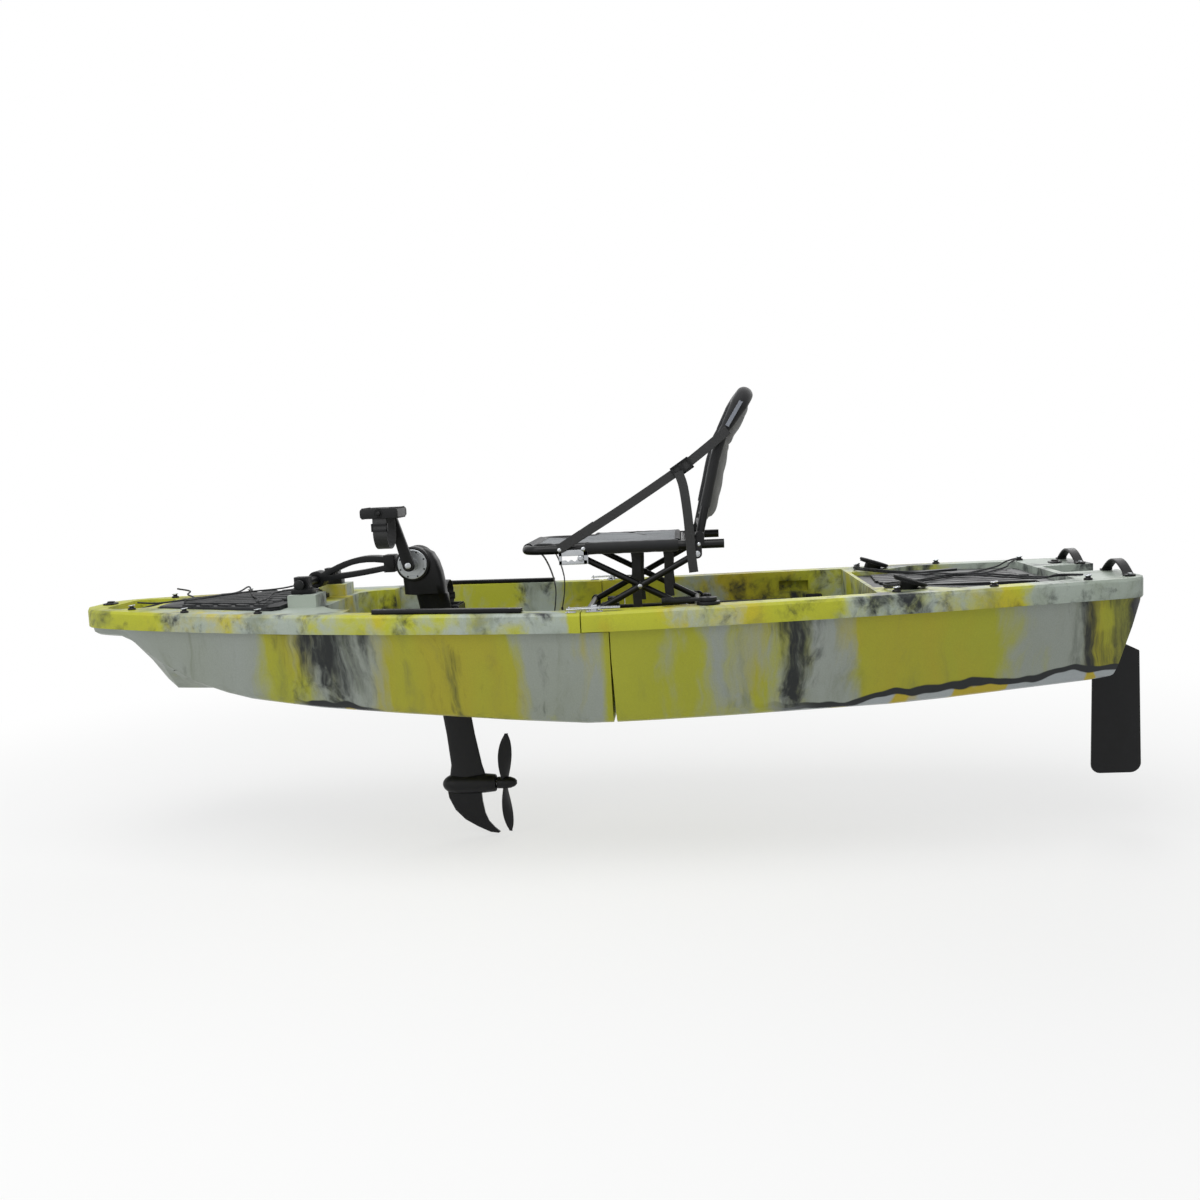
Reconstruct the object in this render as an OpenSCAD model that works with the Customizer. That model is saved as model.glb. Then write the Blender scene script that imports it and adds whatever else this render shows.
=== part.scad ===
/* [Hull] */
// Beam over the gunwales
beam = 906; // [880:2:930]
// Length of the hull ahead of the joint in the gunwale
bow_len = 1465; // [1445:5:1490]
// Length of the hull behind that joint
stern_len = 1434; // [1426:2:1450]
// Height of the gunwale over the keel at the joint
depth = 300; // [298:1:306]
// Wall of the moulded shell
wall = 5; // [4:0.5:6]
// Height of the gunwale lip
lip_h = 50; // [46:1:52]
// How far the lip stands out from the hull side
lip_step = 12; // [8:1:16]
// Width of the gunwale beside the cockpit
rim_w = 66; // [62:1:68]
// Gap between the two hull modules
seam_gap = 3; // [2:0.5:4]
// How far the stern module reaches over the bow module
overlap_l = 70; // [66:1:74]
// Height of the foot well floor
foot_z = 150; // [140:1:156]
// Height of the deck ahead of the seat
deck_z = 206; // [202:1:210]
// Height of the deck under the seat
seat_deck_z = 222; // [218:1:224]
// Radius of a scupper hole
scupper_r = 22; // [18:0.5:24]

/* [Drive] */
// Length of a crank between the axle and the pedal spindle
crank_len = 160; // [150:1:165]
// Height of the crank axle over the keel
axle_z = 410; // [405:1:416]
// Radius of the drum that holds the upper gears
drum_r = 50; // [47:0.5:52]
// Radius of the propeller over its blade tips
prop_r = 147; // [130:1:148]
// Width of the slot that the leg drops through
slot_w = 74; // [72:1:78]
// Radius of the pivot bar
bar_r = 12; // [10:0.5:13]

/* [Seat] */
// Width of the seat over its side tubes
seat_w = 490; // [480:2:496]
// Radius of the seat tubes
tube_r = 12; // [10:0.5:12.5]
// Length of one scissor leg between its end pivots
leg_len = 350; // [346:1:354]
// Angle of the scissor legs over the deck
leg_angle = 27.7; // [26:0.1:29]

/* [Deck] */
// Thickness of the bow lid
lid_t = 22; // [18:1:24]
// Radius of a bungee cord
cord_r = 2.5; // [2:0.25:3]
// Inner radius of the cup holder
cup_r = 38; // [34:0.5:40]
// Inner radius of a rod holder
rod_r = 22; // [20:0.5:23]

/* [Rudder] */
// Chord of the rudder blade
blade_w = 138; // [128:1:142]
// Reach of the rudder blade under its pin
blade_h = 370; // [340:5:380]

/* [Hidden] */
$fn = 40;

// clearances: running fit of a pin, gap between pieces that move, gap under a seated piece
fit = 0.05;
gap = 0.3;

// gunwale plan: share of the module's length, share of half the beam
beam_shape = [
    [-1.000, 0.15], [-0.9925, 0.215], [-0.978, 0.29], [-0.958, 0.347], [-0.911, 0.424], [-0.842, 0.519],
    [-0.726, 0.649], [-0.610, 0.755], [-0.494, 0.841], [-0.340, 0.9205], [-0.147, 0.980], [0, 1],
    [0.126, 0.9935], [0.245, 0.980], [0.442, 0.9426], [0.639, 0.8896], [0.836, 0.8057], [0.955, 0.744],
    [0.975, 0.726], [0.990, 0.69], [1, 0.62]];
// height of the keel line and of the chine over the base, as a share of the depth
keel_shape = [
    [-0.932, 0.89], [-0.915, 0.74], [-0.890, 0.50], [-0.865, 0.33], [-0.846, 0.235], [-0.80, 0.225],
    [-0.61, 0.21], [-0.506, 0.15], [-0.317, 0.07], [-0.109, 0], [0.070, 0], [0.313, 0.03],
    [0.560, 0.06], [0.907, 0.165], [1, 0.21]];
chine_shape = [
    [-0.95, 0.90], [-0.92, 0.87], [-0.874, 0.73], [-0.819, 0.56], [-0.751, 0.40], [-0.683, 0.305],
    [-0.633, 0.255], [-0.506, 0.185], [-0.317, 0.12], [-0.109, 0.045], [0, 0.012], [0.070, 0.012],
    [0.313, 0.042], [0.560, 0.077], [0.907, 0.19], [1, 0.25]];
// half width of the flat under the keel, as a share of the chine's
flat_shape = [[-0.93, 0.12], [-0.80, 0.07], [-0.61, 0.12], [-0.317, 0.30], [-0.109, 0.42], [1, 0.5]];
sheer_rise = 24;
chine_share = 0.90;
chine_r = 26;
edge_r = 7;
bow_x = [
    -1, -0.9965, -0.987, -0.972, -0.950, -0.932, -0.915, -0.890, -0.865, -0.846, -0.819, -0.785, -0.751, -0.726,
    -0.683, -0.633, -0.61, -0.55, -0.494, -0.42, -0.340, -0.24, -0.147, -0.109, 0];
stern_x = [0.126, 0.245, 0.34, 0.442, 0.54, 0.639, 0.74, 0.836, 0.907, 0.955, 0.975, 0.990, 1];

function u_of(x) = x < 0 ? x / bow_len : x / stern_len;
function half_beam(x) = beam / 2 * lookup(u_of(x), beam_shape);
function sheer(x) = depth + sheer_rise * abs(u_of(x));
function lip_bottom(x) = sheer(x) - lip_h;
function chine_y(x) = (half_beam(x) - lip_step) * chine_share;
function turn_r(x) = min(chine_r, 0.3 * chine_y(x));
function chine_z(x) = min(depth * lookup(u_of(x), chine_shape), lip_bottom(x) - turn_r(x) - 1);
function keel_z(x) = min(depth * lookup(u_of(x), keel_shape), chine_z(x) - 2);
function side_y(x, t) = half_beam(x) - lip_step - t;
// half section of the outside, from the keel to the middle of the deck
function outer_section(x) = [
    [0, keel_z(x)],
    [chine_y(x) * lookup(u_of(x), flat_shape), keel_z(x)],
    [chine_y(x) * 0.62, keel_z(x) + (chine_z(x) - keel_z(x)) * 0.8],
    [chine_y(x) - turn_r(x), chine_z(x)],
    [chine_y(x) - turn_r(x) * 0.29, chine_z(x) + turn_r(x) * 0.29],
    [chine_y(x) + (side_y(x, 0) - chine_y(x)) * 0.1, chine_z(x) + turn_r(x)],
    [side_y(x, 0), lip_bottom(x)],
    [half_beam(x), lip_bottom(x)],
    [half_beam(x), sheer(x) - edge_r],
    [half_beam(x) - edge_r, sheer(x)],
    [0, sheer(x)]];
// half section of the hollow inside, t within the outside
function inner_section(x, t) = [
    [0, 0.5 * (keel_z(x) + chine_z(x)) + t],
    [chine_y(x) - turn_r(x) - t / 2, chine_z(x) + t],
    [chine_y(x) + (side_y(x, 0) - chine_y(x)) * 0.1 - t, chine_z(x) + turn_r(x)],
    [side_y(x, t), lip_bottom(x) - t],
    [side_y(x, t * 2), sheer(x) - t * 1.2],
    [0, sheer(x) - t]];
function whole(x, half) = let (n = len(half)) [
    for (p = half) [x, p[0], p[1]],
    for (i = [n - 2 : -1 : 1]) [x, -half[i][0], half[i][1]]];
function ring(x, t) = whole(x, t > 0 ? inner_section(x, t) : outer_section(x));

module skin(rings) {
    n = len(rings[0]);
    last = len(rings) - 1;
    quads = [for (i = [0 : last - 1]) for (j = [0 : n - 1])
        let (k = (j + 1) % n, a = i * n + j, b = i * n + k, c = (i + 1) * n + k, d = (i + 1) * n + j)
        each [[a, d, c], [a, c, b]]];
    polyhedron(
        points = [for (r = rings) each r],
        faces = concat([[for (j = [0 : n - 1]) j]], quads, [[for (j = [n - 1 : -1 : 0]) last * n + j]]));
}

// a tube along the points of a path, with flat ends square to it
function unit(v) = v / norm(v);
function heading(path, i) = unit(path[min(i + 1, len(path) - 1)] - path[max(i - 1, 0)]);
function side_of(d) = unit(cross(d, abs(d[2]) > 0.9 ? [0, 1, 0] : [0, 0, 1]));
module tube(path, r, sides = 8) {
    skin([for (i = [0 : len(path) - 1])
        let (d = heading(path, i), s = side_of(d), t = cross(s, d))
        [for (k = [0 : sides - 1]) path[i] + r * (cos(k * 360 / sides) * s - sin(k * 360 / sides) * t)]]);
}

// rounded rectangle between two corners, and a deck outline that follows the gunwale
function round_rect(x0, x1, y0, y1, r) = [
    for (c = [[x1 - r, y1 - r, 0], [x0 + r, y1 - r, 90], [x0 + r, y0 + r, 180], [x1 - r, y0 + r, 270]])
    for (a = [0 : 22.5 : 90]) [c[0] + r * cos(c[2] + a), c[1] + r * sin(c[2] + a)]];
function deck_half(x0, x1, inset) = [for (i = [0 : 8]) let (x = x0 + (x1 - x0) * i / 8) [x, half_beam(x) - inset]];
function both_sides(half) = concat(half,
    [for (i = [len(half) - 1 : -1 : 0]) if (half[i][1] != 0) [half[i][0], -half[i][1]]]);
module well(points, floor_z) translate([0, 0, floor_z]) linear_extrude(depth + 100 - floor_z) polygon(points);
module mirrored() {
    children();
    mirror([0, 1, 0]) children();
}
bow_tilt = atan(sheer_rise / bow_len);
stern_tilt = -atan(sheer_rise / stern_len);
module on_deck(x, y) translate([x, y, sheer(x)]) rotate([0, x < 0 ? bow_tilt : stern_tilt, 0]) children();

// bow lid, fan shaped in plan
lid_front = -1242;
lid_back = -838;
lid_front_y = 130;
lid_back_y = 262;
lid_ledge = 22;
function lid_half(g) = [
    [lid_front - g, 0], [lid_front - g, lid_front_y - 30 + g * 0.5], [lid_front + 12 - g, lid_front_y + g * 0.9],
    [lid_back - 20 + g, lid_back_y + g], [lid_back + g, lid_back_y - 22 + g], [lid_back + g, 0]];
lid_seat_z = sheer(lid_back) - lid_t + 6;

// drive: axle, leg, slot and the bar that it swings on
bar_x = -800;
bar_z = 375;
axle_x = -510;
clamp_y = 145;
boss_top = 347;
gear_z = -247;
slot_front = -492;
slot_back = -246;
trough_y = 80;
shaft_foot_x = -391;
tray_front = -372;
tray_back = -92;

// openings in the bow deck
mat_front = -618;
mat_back = -400;
well_front = -734;
foot_front = -640;
foot_back = -392;
foot_y = trough_y + 14;
plate_x = [-384, -8];
plate_y = [116, 326];
scupper_x = -475;
scupper_y = 190;
bolt_x = 30;
bolt_y = 402;
step_y = 370;
step_z = 190;

module bow_wells(g) {
    translate([0, 0, 286 - g])
    linear_extrude(120) polygon(round_rect(65 - bow_len - g, 197 - bow_len + g, -124 - g,
        124 + g, 50 + g));
    well(both_sides(lid_half(gap * 4 + g)), lid_seat_z - g);
    well(both_sides(lid_half(g - lid_ledge)), 135 - g);
    well(both_sides([[well_front - g, 180 + g], [well_front + 40 - g, 240 + g], [foot_front + 30, 270 + g]]),
        240 - g);
    well(both_sides(deck_half(foot_front - g, overlap_l + 40, rim_w - g)), deck_z - g);
    mirrored() well([[foot_front + 12 - g, foot_y - g], [foot_back + g, foot_y - g],
        [foot_back + g, half_beam(foot_back) - rim_w - 14 + g],
        [foot_front + 12 - g, half_beam(foot_front) - rim_w - 14 + g]], foot_z - g);
    well(round_rect(-720 - g, tray_back + 16 + g, -trough_y - g, trough_y + g, 14 + g), 168 - g);
    mirrored() well(round_rect(plate_x[0] + 40 - g, plate_x[1] - 34 + g, plate_y[0] + 40 - g,
        plate_y[1] - 32 + g, 20 + g), 70 - g);
    mirrored() well(round_rect(plate_x[0] - 1, plate_x[1] + 1, plate_y[0] - 1, plate_y[1] + 1, 18), deck_z - 4 - g);
}
module bow_holes(g) {
    well(round_rect(slot_front - g, slot_back + g, -slot_w / 2 - g, slot_w / 2 + g, 20 + g), -20);
    mirrored() translate([scupper_x, scupper_y, -20]) cylinder(r = scupper_r + g, h = 400, $fn = 48);
}
// section across the step between the modules, and solids that run along the hull from such a section
function step_section(t, side) = [
    [-600, side * 600], [600, side * 600], [600, lip_bottom(0) + t], [step_y - t, lip_bottom(0) + t],
    [step_y - t, step_z + t], [t - step_y, step_z + t], [t - step_y, lip_bottom(0) + t],
    [-600, lip_bottom(0) + t]];
module along(x0, x1) translate([x0, 0, 0]) rotate([90, 0, 90]) linear_extrude(x1 - x0) children();
// vent through the bulkhead at the joint: y, z
vent = [240, 70];
vent_r = 6;
// what the stern module takes from the bow module, with the seam at t
module step_cut(t) along(-t, overlap_l + 100) polygon(step_section(-t, 1));

module bow_hull() color("yellowgreen") difference() {
    union() {
        loft_bow(0, overlap_l + 20);
        mirrored() translate([bar_x - 32, clamp_y - 48, depth - 30]) cube([80, 96, boss_top - depth + 30]);
    }
    bow_wells(0);
    bow_holes(0);
    step_cut(seam_gap / 2);
    along(overlap_l - seam_gap / 2, overlap_l + 200) translate([-600, -100]) square([1200, 600]);
    translate([0, vent[0], vent[1]]) along_x(vent_r, overlap_l - 30, overlap_l + 10);
    difference() {
        loft_bow(wall, overlap_l - seam_gap / 2 - wall);
        bow_wells(wall);
        bow_holes(wall);
        step_cut(seam_gap / 2 + wall);
    }
}
module loft_bow(t, x_end) {
    stations = t > 0 ? [for (u = bow_x) if (u > -0.87) u * bow_len] : [for (u = bow_x) u * bow_len];
    skin([for (x = concat(stations, x_end)) ring(x, t)]);
}

// tank well cover and the deck behind the seat
cover_half = [[764, 218], [836, 222], [960, 330], [1217, 290], [1267, 258]];
cover_t = 20;
cover_z = 282;
cockpit_back = 752;
floor_plug = [602, 185];
pocket = [197, 340];
pocket_r = 34;
notch_y = 95;
notch_x = stern_len - 144;
notch_z = 215;
rod_x = 838;
rod_y = 292;
rod_tilt = 18;
rod_depth = 190;
flange_top = 19;
function cover_inset(g) = [
    [cover_half[0][0] - g, cover_half[0][1] + g], [cover_half[1][0] - g * 0.4, cover_half[1][1] + g],
    [cover_half[2][0] - g * 0.5, cover_half[2][1] + g], [cover_half[3][0] + g * 0.6, cover_half[3][1] + g],
    [cover_half[4][0] + g, cover_half[4][1] + g * 0.4]];
module rod_axis() translate([rod_x, rod_y, sheer(rod_x)]) rotate([0, rod_tilt, 0]) children();

module stern_wells(g) {
    well(both_sides(deck_half(-10, cockpit_back + g, rim_w - g)), seat_deck_z - g);
    mirrored() translate([560 - g, half_beam(600) - rim_w - 20, 246 - g]) cube([90 + 2 * g, 40 + g, 34 + 2 * g]);
    translate([pocket[0], pocket[1], 150 - g]) cylinder(r = pocket_r + g, h = 200);
    well(both_sides(cover_inset(gap * 4 + g)), cover_z - g);
    well(both_sides(cover_inset(g - 24)), 130 - g);
    translate([notch_x - g, -notch_y - g, notch_z - g]) cube([400, 2 * (notch_y + g), 200]);
    mirrored() rod_axis() translate([0, 0, -rod_depth - g]) cylinder(r = rod_r + 3 + g, h = rod_depth + 60);
}
module stern_holes(g) {
    mirrored() translate([floor_plug[0], floor_plug[1], -20]) cylinder(r = scupper_r + g, h = 400, $fn = 48);
}
module step_keep(t) along(-100, overlap_l + t) polygon(step_section(t, -1));
module transom_cut(t) translate([stern_len - 30 - t, -600, notch_z]) rotate([0, 18, 0]) translate([0, 0, -400])
    cube([200, 1200, 457]);
module loft_stern(t, x_end) {
    stations = [for (u = stern_x) if (u * stern_len < x_end) u * stern_len];
    skin([for (x = concat([-20, overlap_l], stations, x_end)) ring(x, t)]);
}
module stern_hull() color("olivedrab") difference() {
    loft_stern(0, stern_len + 20);
    along(-200, seam_gap / 2) translate([-600, -100]) square([1200, 600]);
    along(stern_len, stern_len + 200) translate([-600, -100]) square([1200, 600]);
    stern_wells(0);
    stern_holes(0);
    step_keep(seam_gap / 2);
    transom_cut(0);
    plate_y(-600, 600) polygon([[overlap_l, -20], [overlap_l + seam_gap / 2 + 7, -20],
        [overlap_l + seam_gap / 2, step_z - 10], [overlap_l, step_z - 10]]);
    difference() {
        loft_stern(wall, stern_len - wall);
        stern_wells(wall);
        stern_holes(wall);
        translate([-100, -600, -100]) cube([overlap_l + 100 + seam_gap + 3 * wall, 1200, 600]);
        transom_cut(wall);
    }
}

// small parts that repeat
module screw(r = 4, h = 3) cylinder(r1 = r, r2 = r * 0.7, h = h, $fn = 24);
module across(r, y0, y1) translate([0, y0, 0]) rotate([-90, 0, 0]) cylinder(r = r, h = y1 - y0);
module along_x(r, x0, x1) translate([x0, 0, 0]) rotate([0, 90, 0]) cylinder(r = r, h = x1 - x0);
module plate_y(y0, y1) translate([0, y1, 0]) rotate([90, 0, 0]) linear_extrude(y1 - y0) children();
module bar_between(a, b, r) hull() {
    translate(a) rotate([90, 0, 0]) cylinder(r = r, h = 2 * r, center = true, $fn = 32);
    translate(b) rotate([90, 0, 0]) cylinder(r = r, h = 2 * r, center = true, $fn = 32);
}
function arc(c, r, a0, a1, n) =
    [for (i = [0 : n]) let (a = a0 + (a1 - a0) * i / n) [c[0] + r * cos(a), c[1] + r * sin(a)]];

// drain fittings at bow and stern
drain_x = [34 - bow_len, stern_len - 82];
module drain_fitting() {
    translate([0, 0, gap]) linear_extrude(4)
        polygon(concat(arc([0, 11], 17, 0, 180, 12), arc([0, -11], 17, 180, 360, 12)));
    translate([0, 0, 4 + gap]) cylinder(r = 10, h = 5);
    mirrored() translate([0, 20, 4 + gap]) screw();
}
module drain_plugs() color("black") {
    on_deck(drain_x[0], 0) drain_fitting();
    translate([drain_x[1], 180, 0]) translate([0, 0, sheer(drain_x[1])]) rotate([0, stern_tilt, 0]) drain_fitting();
}

// carry grip in the bow recess
grip_x = 155 - bow_len;
grip_r = 13;
module bow_grip() color("black") {
    translate([grip_x, 0, 286 + gap + 18]) across(grip_r, -82, 82);
    mirrored() difference() {
        translate([grip_x - 11, 82, 286 + gap]) cube([22, 14, 18 + 9]);
        translate([grip_x, 82, 286 + gap + 18]) across(3, -1, 15);
    }
}

// hatch gasket, lid and its hinge brackets
module hatch_gasket() color("dimgray") translate([0, 0, lid_seat_z + gap])
    linear_extrude(4) difference() {
        polygon(both_sides(lid_half(-2)));
        polygon(both_sides(lid_half(-14)));
    }
lid_z = lid_seat_z + 4 + 2 * gap;
hinge_x = lid_back + 10;
hinge_y = 61.3;
hinge_z = sheer(lid_back) + 14;
rib_l = 354;
module bow_lid() color("#222222") difference() {
    union() {
        translate([0, 0, lid_z]) linear_extrude(lid_t) polygon(both_sides(lid_half(-2)));
        intersection() {
            translate([0, 0, lid_z + lid_t]) linear_extrude(6) polygon(both_sides(lid_half(-12)));
            for (i = [-4 : 4]) translate([lid_front + 20, i * 18, lid_z + lid_t - 1])
                rotate([0, 0, i * 3.1]) translate([0, -9, 0]) cube([rib_l, 14 + abs(i) * 0.8, 7]);
        }
        mirrored() for (y = [hinge_y - 34, hinge_y + 16])
            translate([lid_back - 30, y, lid_z + lid_t - 2]) cube([40, 18, 16]);
        mirrored() for (y = [hinge_y - 34, hinge_y + 16]) translate([hinge_x, y, hinge_z]) across(8, 0, 18);
    }
    mirrored() translate([hinge_x, hinge_y - 40, hinge_z]) across(3 + fit, 0, 80);
    translate([hinge_x - 12, -400, 0]) cube([40, 800, hinge_z - 8.5]);
}
bracket_half = 15.6;
module lid_brackets() color("black") mirrored() {
    translate([hinge_x, hinge_y - bracket_half, hinge_z]) across(8, 0, 2 * bracket_half);
    translate([hinge_x, hinge_y - bracket_half, sheer(lid_back) + gap]) cube([34, 2 * bracket_half, 12]);
    translate([hinge_x, hinge_y - 34.5, hinge_z]) across(3, 0, 69);
    for (y = [-9, 9]) translate([hinge_x + 24, hinge_y + y, sheer(lid_back) + 12]) screw(4, 4);
}

// deck eyes that hold the cords: x, y on the starboard side, and on the port side
eyes_stbd = [[165 - bow_len, 152], [-1100, 255], [-905, 306], [800, 348], [1043, 348],
    [stern_len - 148, 312]];
eyes_port = [[169 - bow_len, 152], [-1100, 255], [-875, 312], [800, 348], [1043, 348],
    [stern_len - 148, 312]];
module deck_eye() {
    cylinder(r = 11, h = 5);
    cylinder(r = 6.6, h = 10);
    translate([0, 0, 11.4]) rotate_extrude() translate([8, 0]) circle(r = 2.2);
}
module deck_eyes() color("black") {
    for (e = eyes_stbd) on_deck(e[0], e[1]) translate([0, 0, gap]) deck_eye();
    for (e = eyes_port) on_deck(e[0], -e[1]) translate([0, 0, gap]) deck_eye();
}
// a cord over the lid from eye to eye, by hand
bow_cord_z = lid_z + lid_t + 6 + cord_r + gap;
bow_cord = [
    [-1285, -138, 6], [-1230, -110, 0], [-1165, 0, 0], [-1095, 110, 0], [-1100, 238, 6], [-1060, 150, 0],
    [-1000, 0, 0], [-930, -150, 0], [-880, -296, 6], [-902, -150, 0], [-935, 0, 0], [-902, 150, 0],
    [-905, 290, 6], [-960, 150, 0], [-1030, 0, 0], [-1090, -110, 0], [-1100, -238, 6], [-1130, -110, 0],
    [-1195, 0, 0], [-1235, 110, 0], [-1285, 138, 6]];
module bow_bungee() color("black") tube([for (i = [0 : len(bow_cord) - 1]) let (p = bow_cord[i])
    [p[0], p[1], bow_cord_z + p[2] + 2 * cord_r * floor(i / 7) * 1.1]], cord_r);

// drive: bar clamps on the raised bosses, and the bar
clamp_w = 36;
module drive_clamps() color("black") mirrored() difference() {
    union() {
        translate([bar_x - 30, clamp_y - clamp_w / 2, boss_top]) cube([60, clamp_w, 14]);
        translate([bar_x - 20, clamp_y - clamp_w / 2, boss_top]) cube([40, clamp_w, bar_z + bar_r + 8 - boss_top]);
        for (x = [-25, 25]) translate([bar_x + x, clamp_y, boss_top + 14]) screw(4.5, 4);
    }
    translate([bar_x, 0, bar_z]) across(bar_r + fit, 0, 400);
}
module pivot_bar() color("black") {
    translate([bar_x, 0, bar_z]) across(bar_r, -182, 182);
    mirrored() translate([bar_x, 182, bar_z]) across(bar_r + 2, 0, 5);
}
arm_w = 54;
arm_end = axle_x - drum_r - 8;
function arm_line(t, rise, h) = [
    bar_x + (arm_end - bar_x + 30) * t,
    bar_z + (axle_z - bar_z) * t + rise * sin(180 * t) + h];
module arm_band(rise, h) polygon(concat(
    [for (i = [0 : 12]) arm_line(i / 12, rise, h)],
    [for (i = [12 : -1 : 0]) arm_line(i / 12, rise, -h)]));
module drive_arm() color("#333333") difference() {
    union() {
        translate([bar_x, 0, bar_z]) across(bar_r + 12, -arm_w / 2, arm_w / 2);
        plate_y(-arm_w / 2, arm_w / 2) arm_band(34, 9);
        plate_y(-arm_w / 2, arm_w / 2) arm_band(-4, 8);
        translate([arm_end - 30, -arm_w / 2, axle_z - 22]) cube([30, arm_w, 50]);
    }
    translate([bar_x, 0, bar_z]) across(bar_r, -100, 100);
    translate([arm_end, -100, 0]) cube([100, 200, 600]);
}

// drive leg with the drum on top; the shaft runs down inside it
leg_foot_z = -216;
shaft_tilt = atan((shaft_foot_x - axle_x) / (axle_z - gear_z));
shaft_bore_r = 6;
drum_half = 45;
gear_r = 36;
module shaft_frame() translate([axle_x, 0, axle_z]) rotate([0, 180 - shaft_tilt, 0]) children();
module drive_leg() color("#333333") difference() {
    union() {
        translate([axle_x, 0, axle_z]) across(drum_r, -drum_half, drum_half);
        translate([arm_end, -26, axle_z - 22]) cube([40, 52, 40]);
        hull() {
            translate([axle_x - 8, 0, axle_z - 30]) cylinder(r = 30, h = 20, $fn = 32);
            translate([-488, 0, 300]) cylinder(r = 16, h = 1, $fn = 32);
            translate([-424, 0, 300]) cylinder(r = 9, h = 1, $fn = 32);
        }
        hull() {
            translate([-488, 0, 300]) cylinder(r = 16, h = 1, $fn = 32);
            translate([-424, 0, 300]) cylinder(r = 9, h = 1, $fn = 32);
            translate([-418, 0, leg_foot_z]) cylinder(r = 14, h = 1, $fn = 32);
            translate([-352, 0, leg_foot_z]) cylinder(r = 6, h = 1, $fn = 32);
        }
    }
    translate([axle_x, 0, axle_z]) across(drum_r - 6, -drum_half + 8, drum_half + 1);
    translate([axle_x, 0, axle_z]) across(9 + fit, -100, 100);
    shaft_frame() cylinder(r = shaft_bore_r + fit, h = 800);
}
module drum_covers() color("silver") {
    difference() {
        union() {
            translate([axle_x, 0, axle_z]) across(drum_r - 4, drum_half + gap, drum_half + 5);
            translate([axle_x, 0, axle_z]) across(drum_r - 4, -drum_half - 5, -drum_half - gap);
        }
        translate([axle_x, 0, axle_z]) across(9 + fit, -100, 100);
    }
    mirrored() for (a = [0 : 60 : 300]) translate([axle_x + 34 * cos(a), 0, axle_z + 34 * sin(a)])
        across(3, drum_half + 5, drum_half + 7);
}
case_r = 30;
case_x = [-470, -309];
module gearcase() color("#222222") difference() {
    union() {
        translate([case_x[0] + 32, 0, gear_z]) along_x(case_r, 0, case_x[1] - case_x[0] - 32);
        translate([case_x[0] + 32, 0, gear_z]) rotate([0, -90, 0]) rotate_extrude() polygon(concat([[0, 0]],
            [for (a = [0 : 10 : 90]) [case_r * cos(a), 32 * sin(a)]]));
        plate_y(-5, 5) polygon([[-462, gear_z], [-458, gear_z - 40], [-440, gear_z - 82], [-410, gear_z - 116],
            [-372, gear_z - 138], [-330, gear_z - 152], [-312, gear_z - 150], [-336, gear_z - 128],
            [-352, gear_z - 100], [-362, gear_z - 60], [-366, gear_z]]);
    }
    translate([-500, -50, leg_foot_z]) cube([300, 100, 100]);
    translate([-404, 0, gear_z]) along_x(23, 0, 200);
    translate([-404, 0, gear_z]) sphere(r = 23, $fn = 32);
    shaft_frame() cylinder(r = shaft_bore_r + 2, h = 680);
}
module crank_axle() color("silver") {
    translate([axle_x, 0, axle_z]) across(9, -104, 104);
    difference() {
        translate([axle_x, 0, axle_z]) across(gear_r + 4, 8, 20);
        translate([axle_x, 0, axle_z]) across(8, 0, 30);
    }
}
module drive_shaft() color("silver") shaft_frame() {
    translate([0, 0, gear_r - 1]) cylinder(r = shaft_bore_r, h = 628 - gear_r);
    translate([0, 0, gear_r - 7]) cylinder(r = 7.2, h = 6);
    translate([0, 0, 648]) cylinder(r = 8, h = 5);
    translate([0, 0, 620]) cylinder(r = 5, h = 30);
}
module prop_shaft() color("silver") translate([0, 0, gear_z]) {
    along_x(6, -384, -262);
    along_x(9, -379, -374);
    difference() {
        along_x(22.9, -324, -311);
        along_x(5.9, -330, -300);
    }
}
hub_x = [-308, -250];
blade_mid = 74;
blade_half_w = 26;
module blade() intersection() {
    rotate([0, 0, 34]) translate([-4, -blade_half_w, 0]) cube([8, 2 * blade_half_w, prop_r + 8]);
    translate([-100, 0, blade_mid]) rotate([0, 90, 0]) linear_extrude(200)
        polygon([for (a = [0 : 15 : 345]) [(prop_r - blade_mid) * cos(a), blade_half_w * sin(a)]]);
}
module propeller() color("black") translate([0, 0, gear_z]) difference() {
    union() {
        along_x(17, hub_x[0], hub_x[1] - 14);
        translate([hub_x[1] - 14, 0, 0]) rotate([0, 90, 0]) cylinder(r1 = 17, r2 = 8, h = 14);
        for (a = [0, 180]) translate([-284, 0, 0]) rotate([a, 0, 0]) blade();
    }
    along_x(6, -400, -262);
}

// cranks and pedals; the port crank points up and a little forward
crank_lean = 15.5;
arm_y = [84, 100];
function pedal_at(side) = [
    axle_x + side * crank_len * sin(crank_lean),
    side * 182,
    axle_z - side * crank_len * cos(crank_lean)];
module crank(side) difference() {
    hull() {
        translate([axle_x, 0, axle_z]) across(17, arm_y[0], arm_y[1]);
        translate([pedal_at(side)[0], 0, pedal_at(side)[2]]) across(12, arm_y[0], arm_y[1]);
    }
    translate([axle_x, 0, axle_z]) across(9, 0, 200);
}
module spindle(side) translate([pedal_at(side)[0], 0, pedal_at(side)[2]]) across(6, arm_y[1], 232);
module crank_port() color("#333333") mirror([0, 1, 0]) {
    crank(-1);
    spindle(-1);
}
module crank_stbd() color("#333333") {
    crank(1);
    spindle(1);
}
pedal_size = [104, 108, 30];
pedal_y = arm_y[1] + 18;
module pedal(side) translate([pedal_at(side)[0], 0, pedal_at(side)[2]]) difference() {
    translate([-pedal_size[0] / 2, pedal_y, -pedal_size[2] / 2]) cube(pedal_size);
    for (x = [-44, 18]) for (y = [8, 58]) translate([x, pedal_y + y, -20]) cube([26, 42, 40]);
    across(6 + fit, 0, 300);
}
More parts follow.
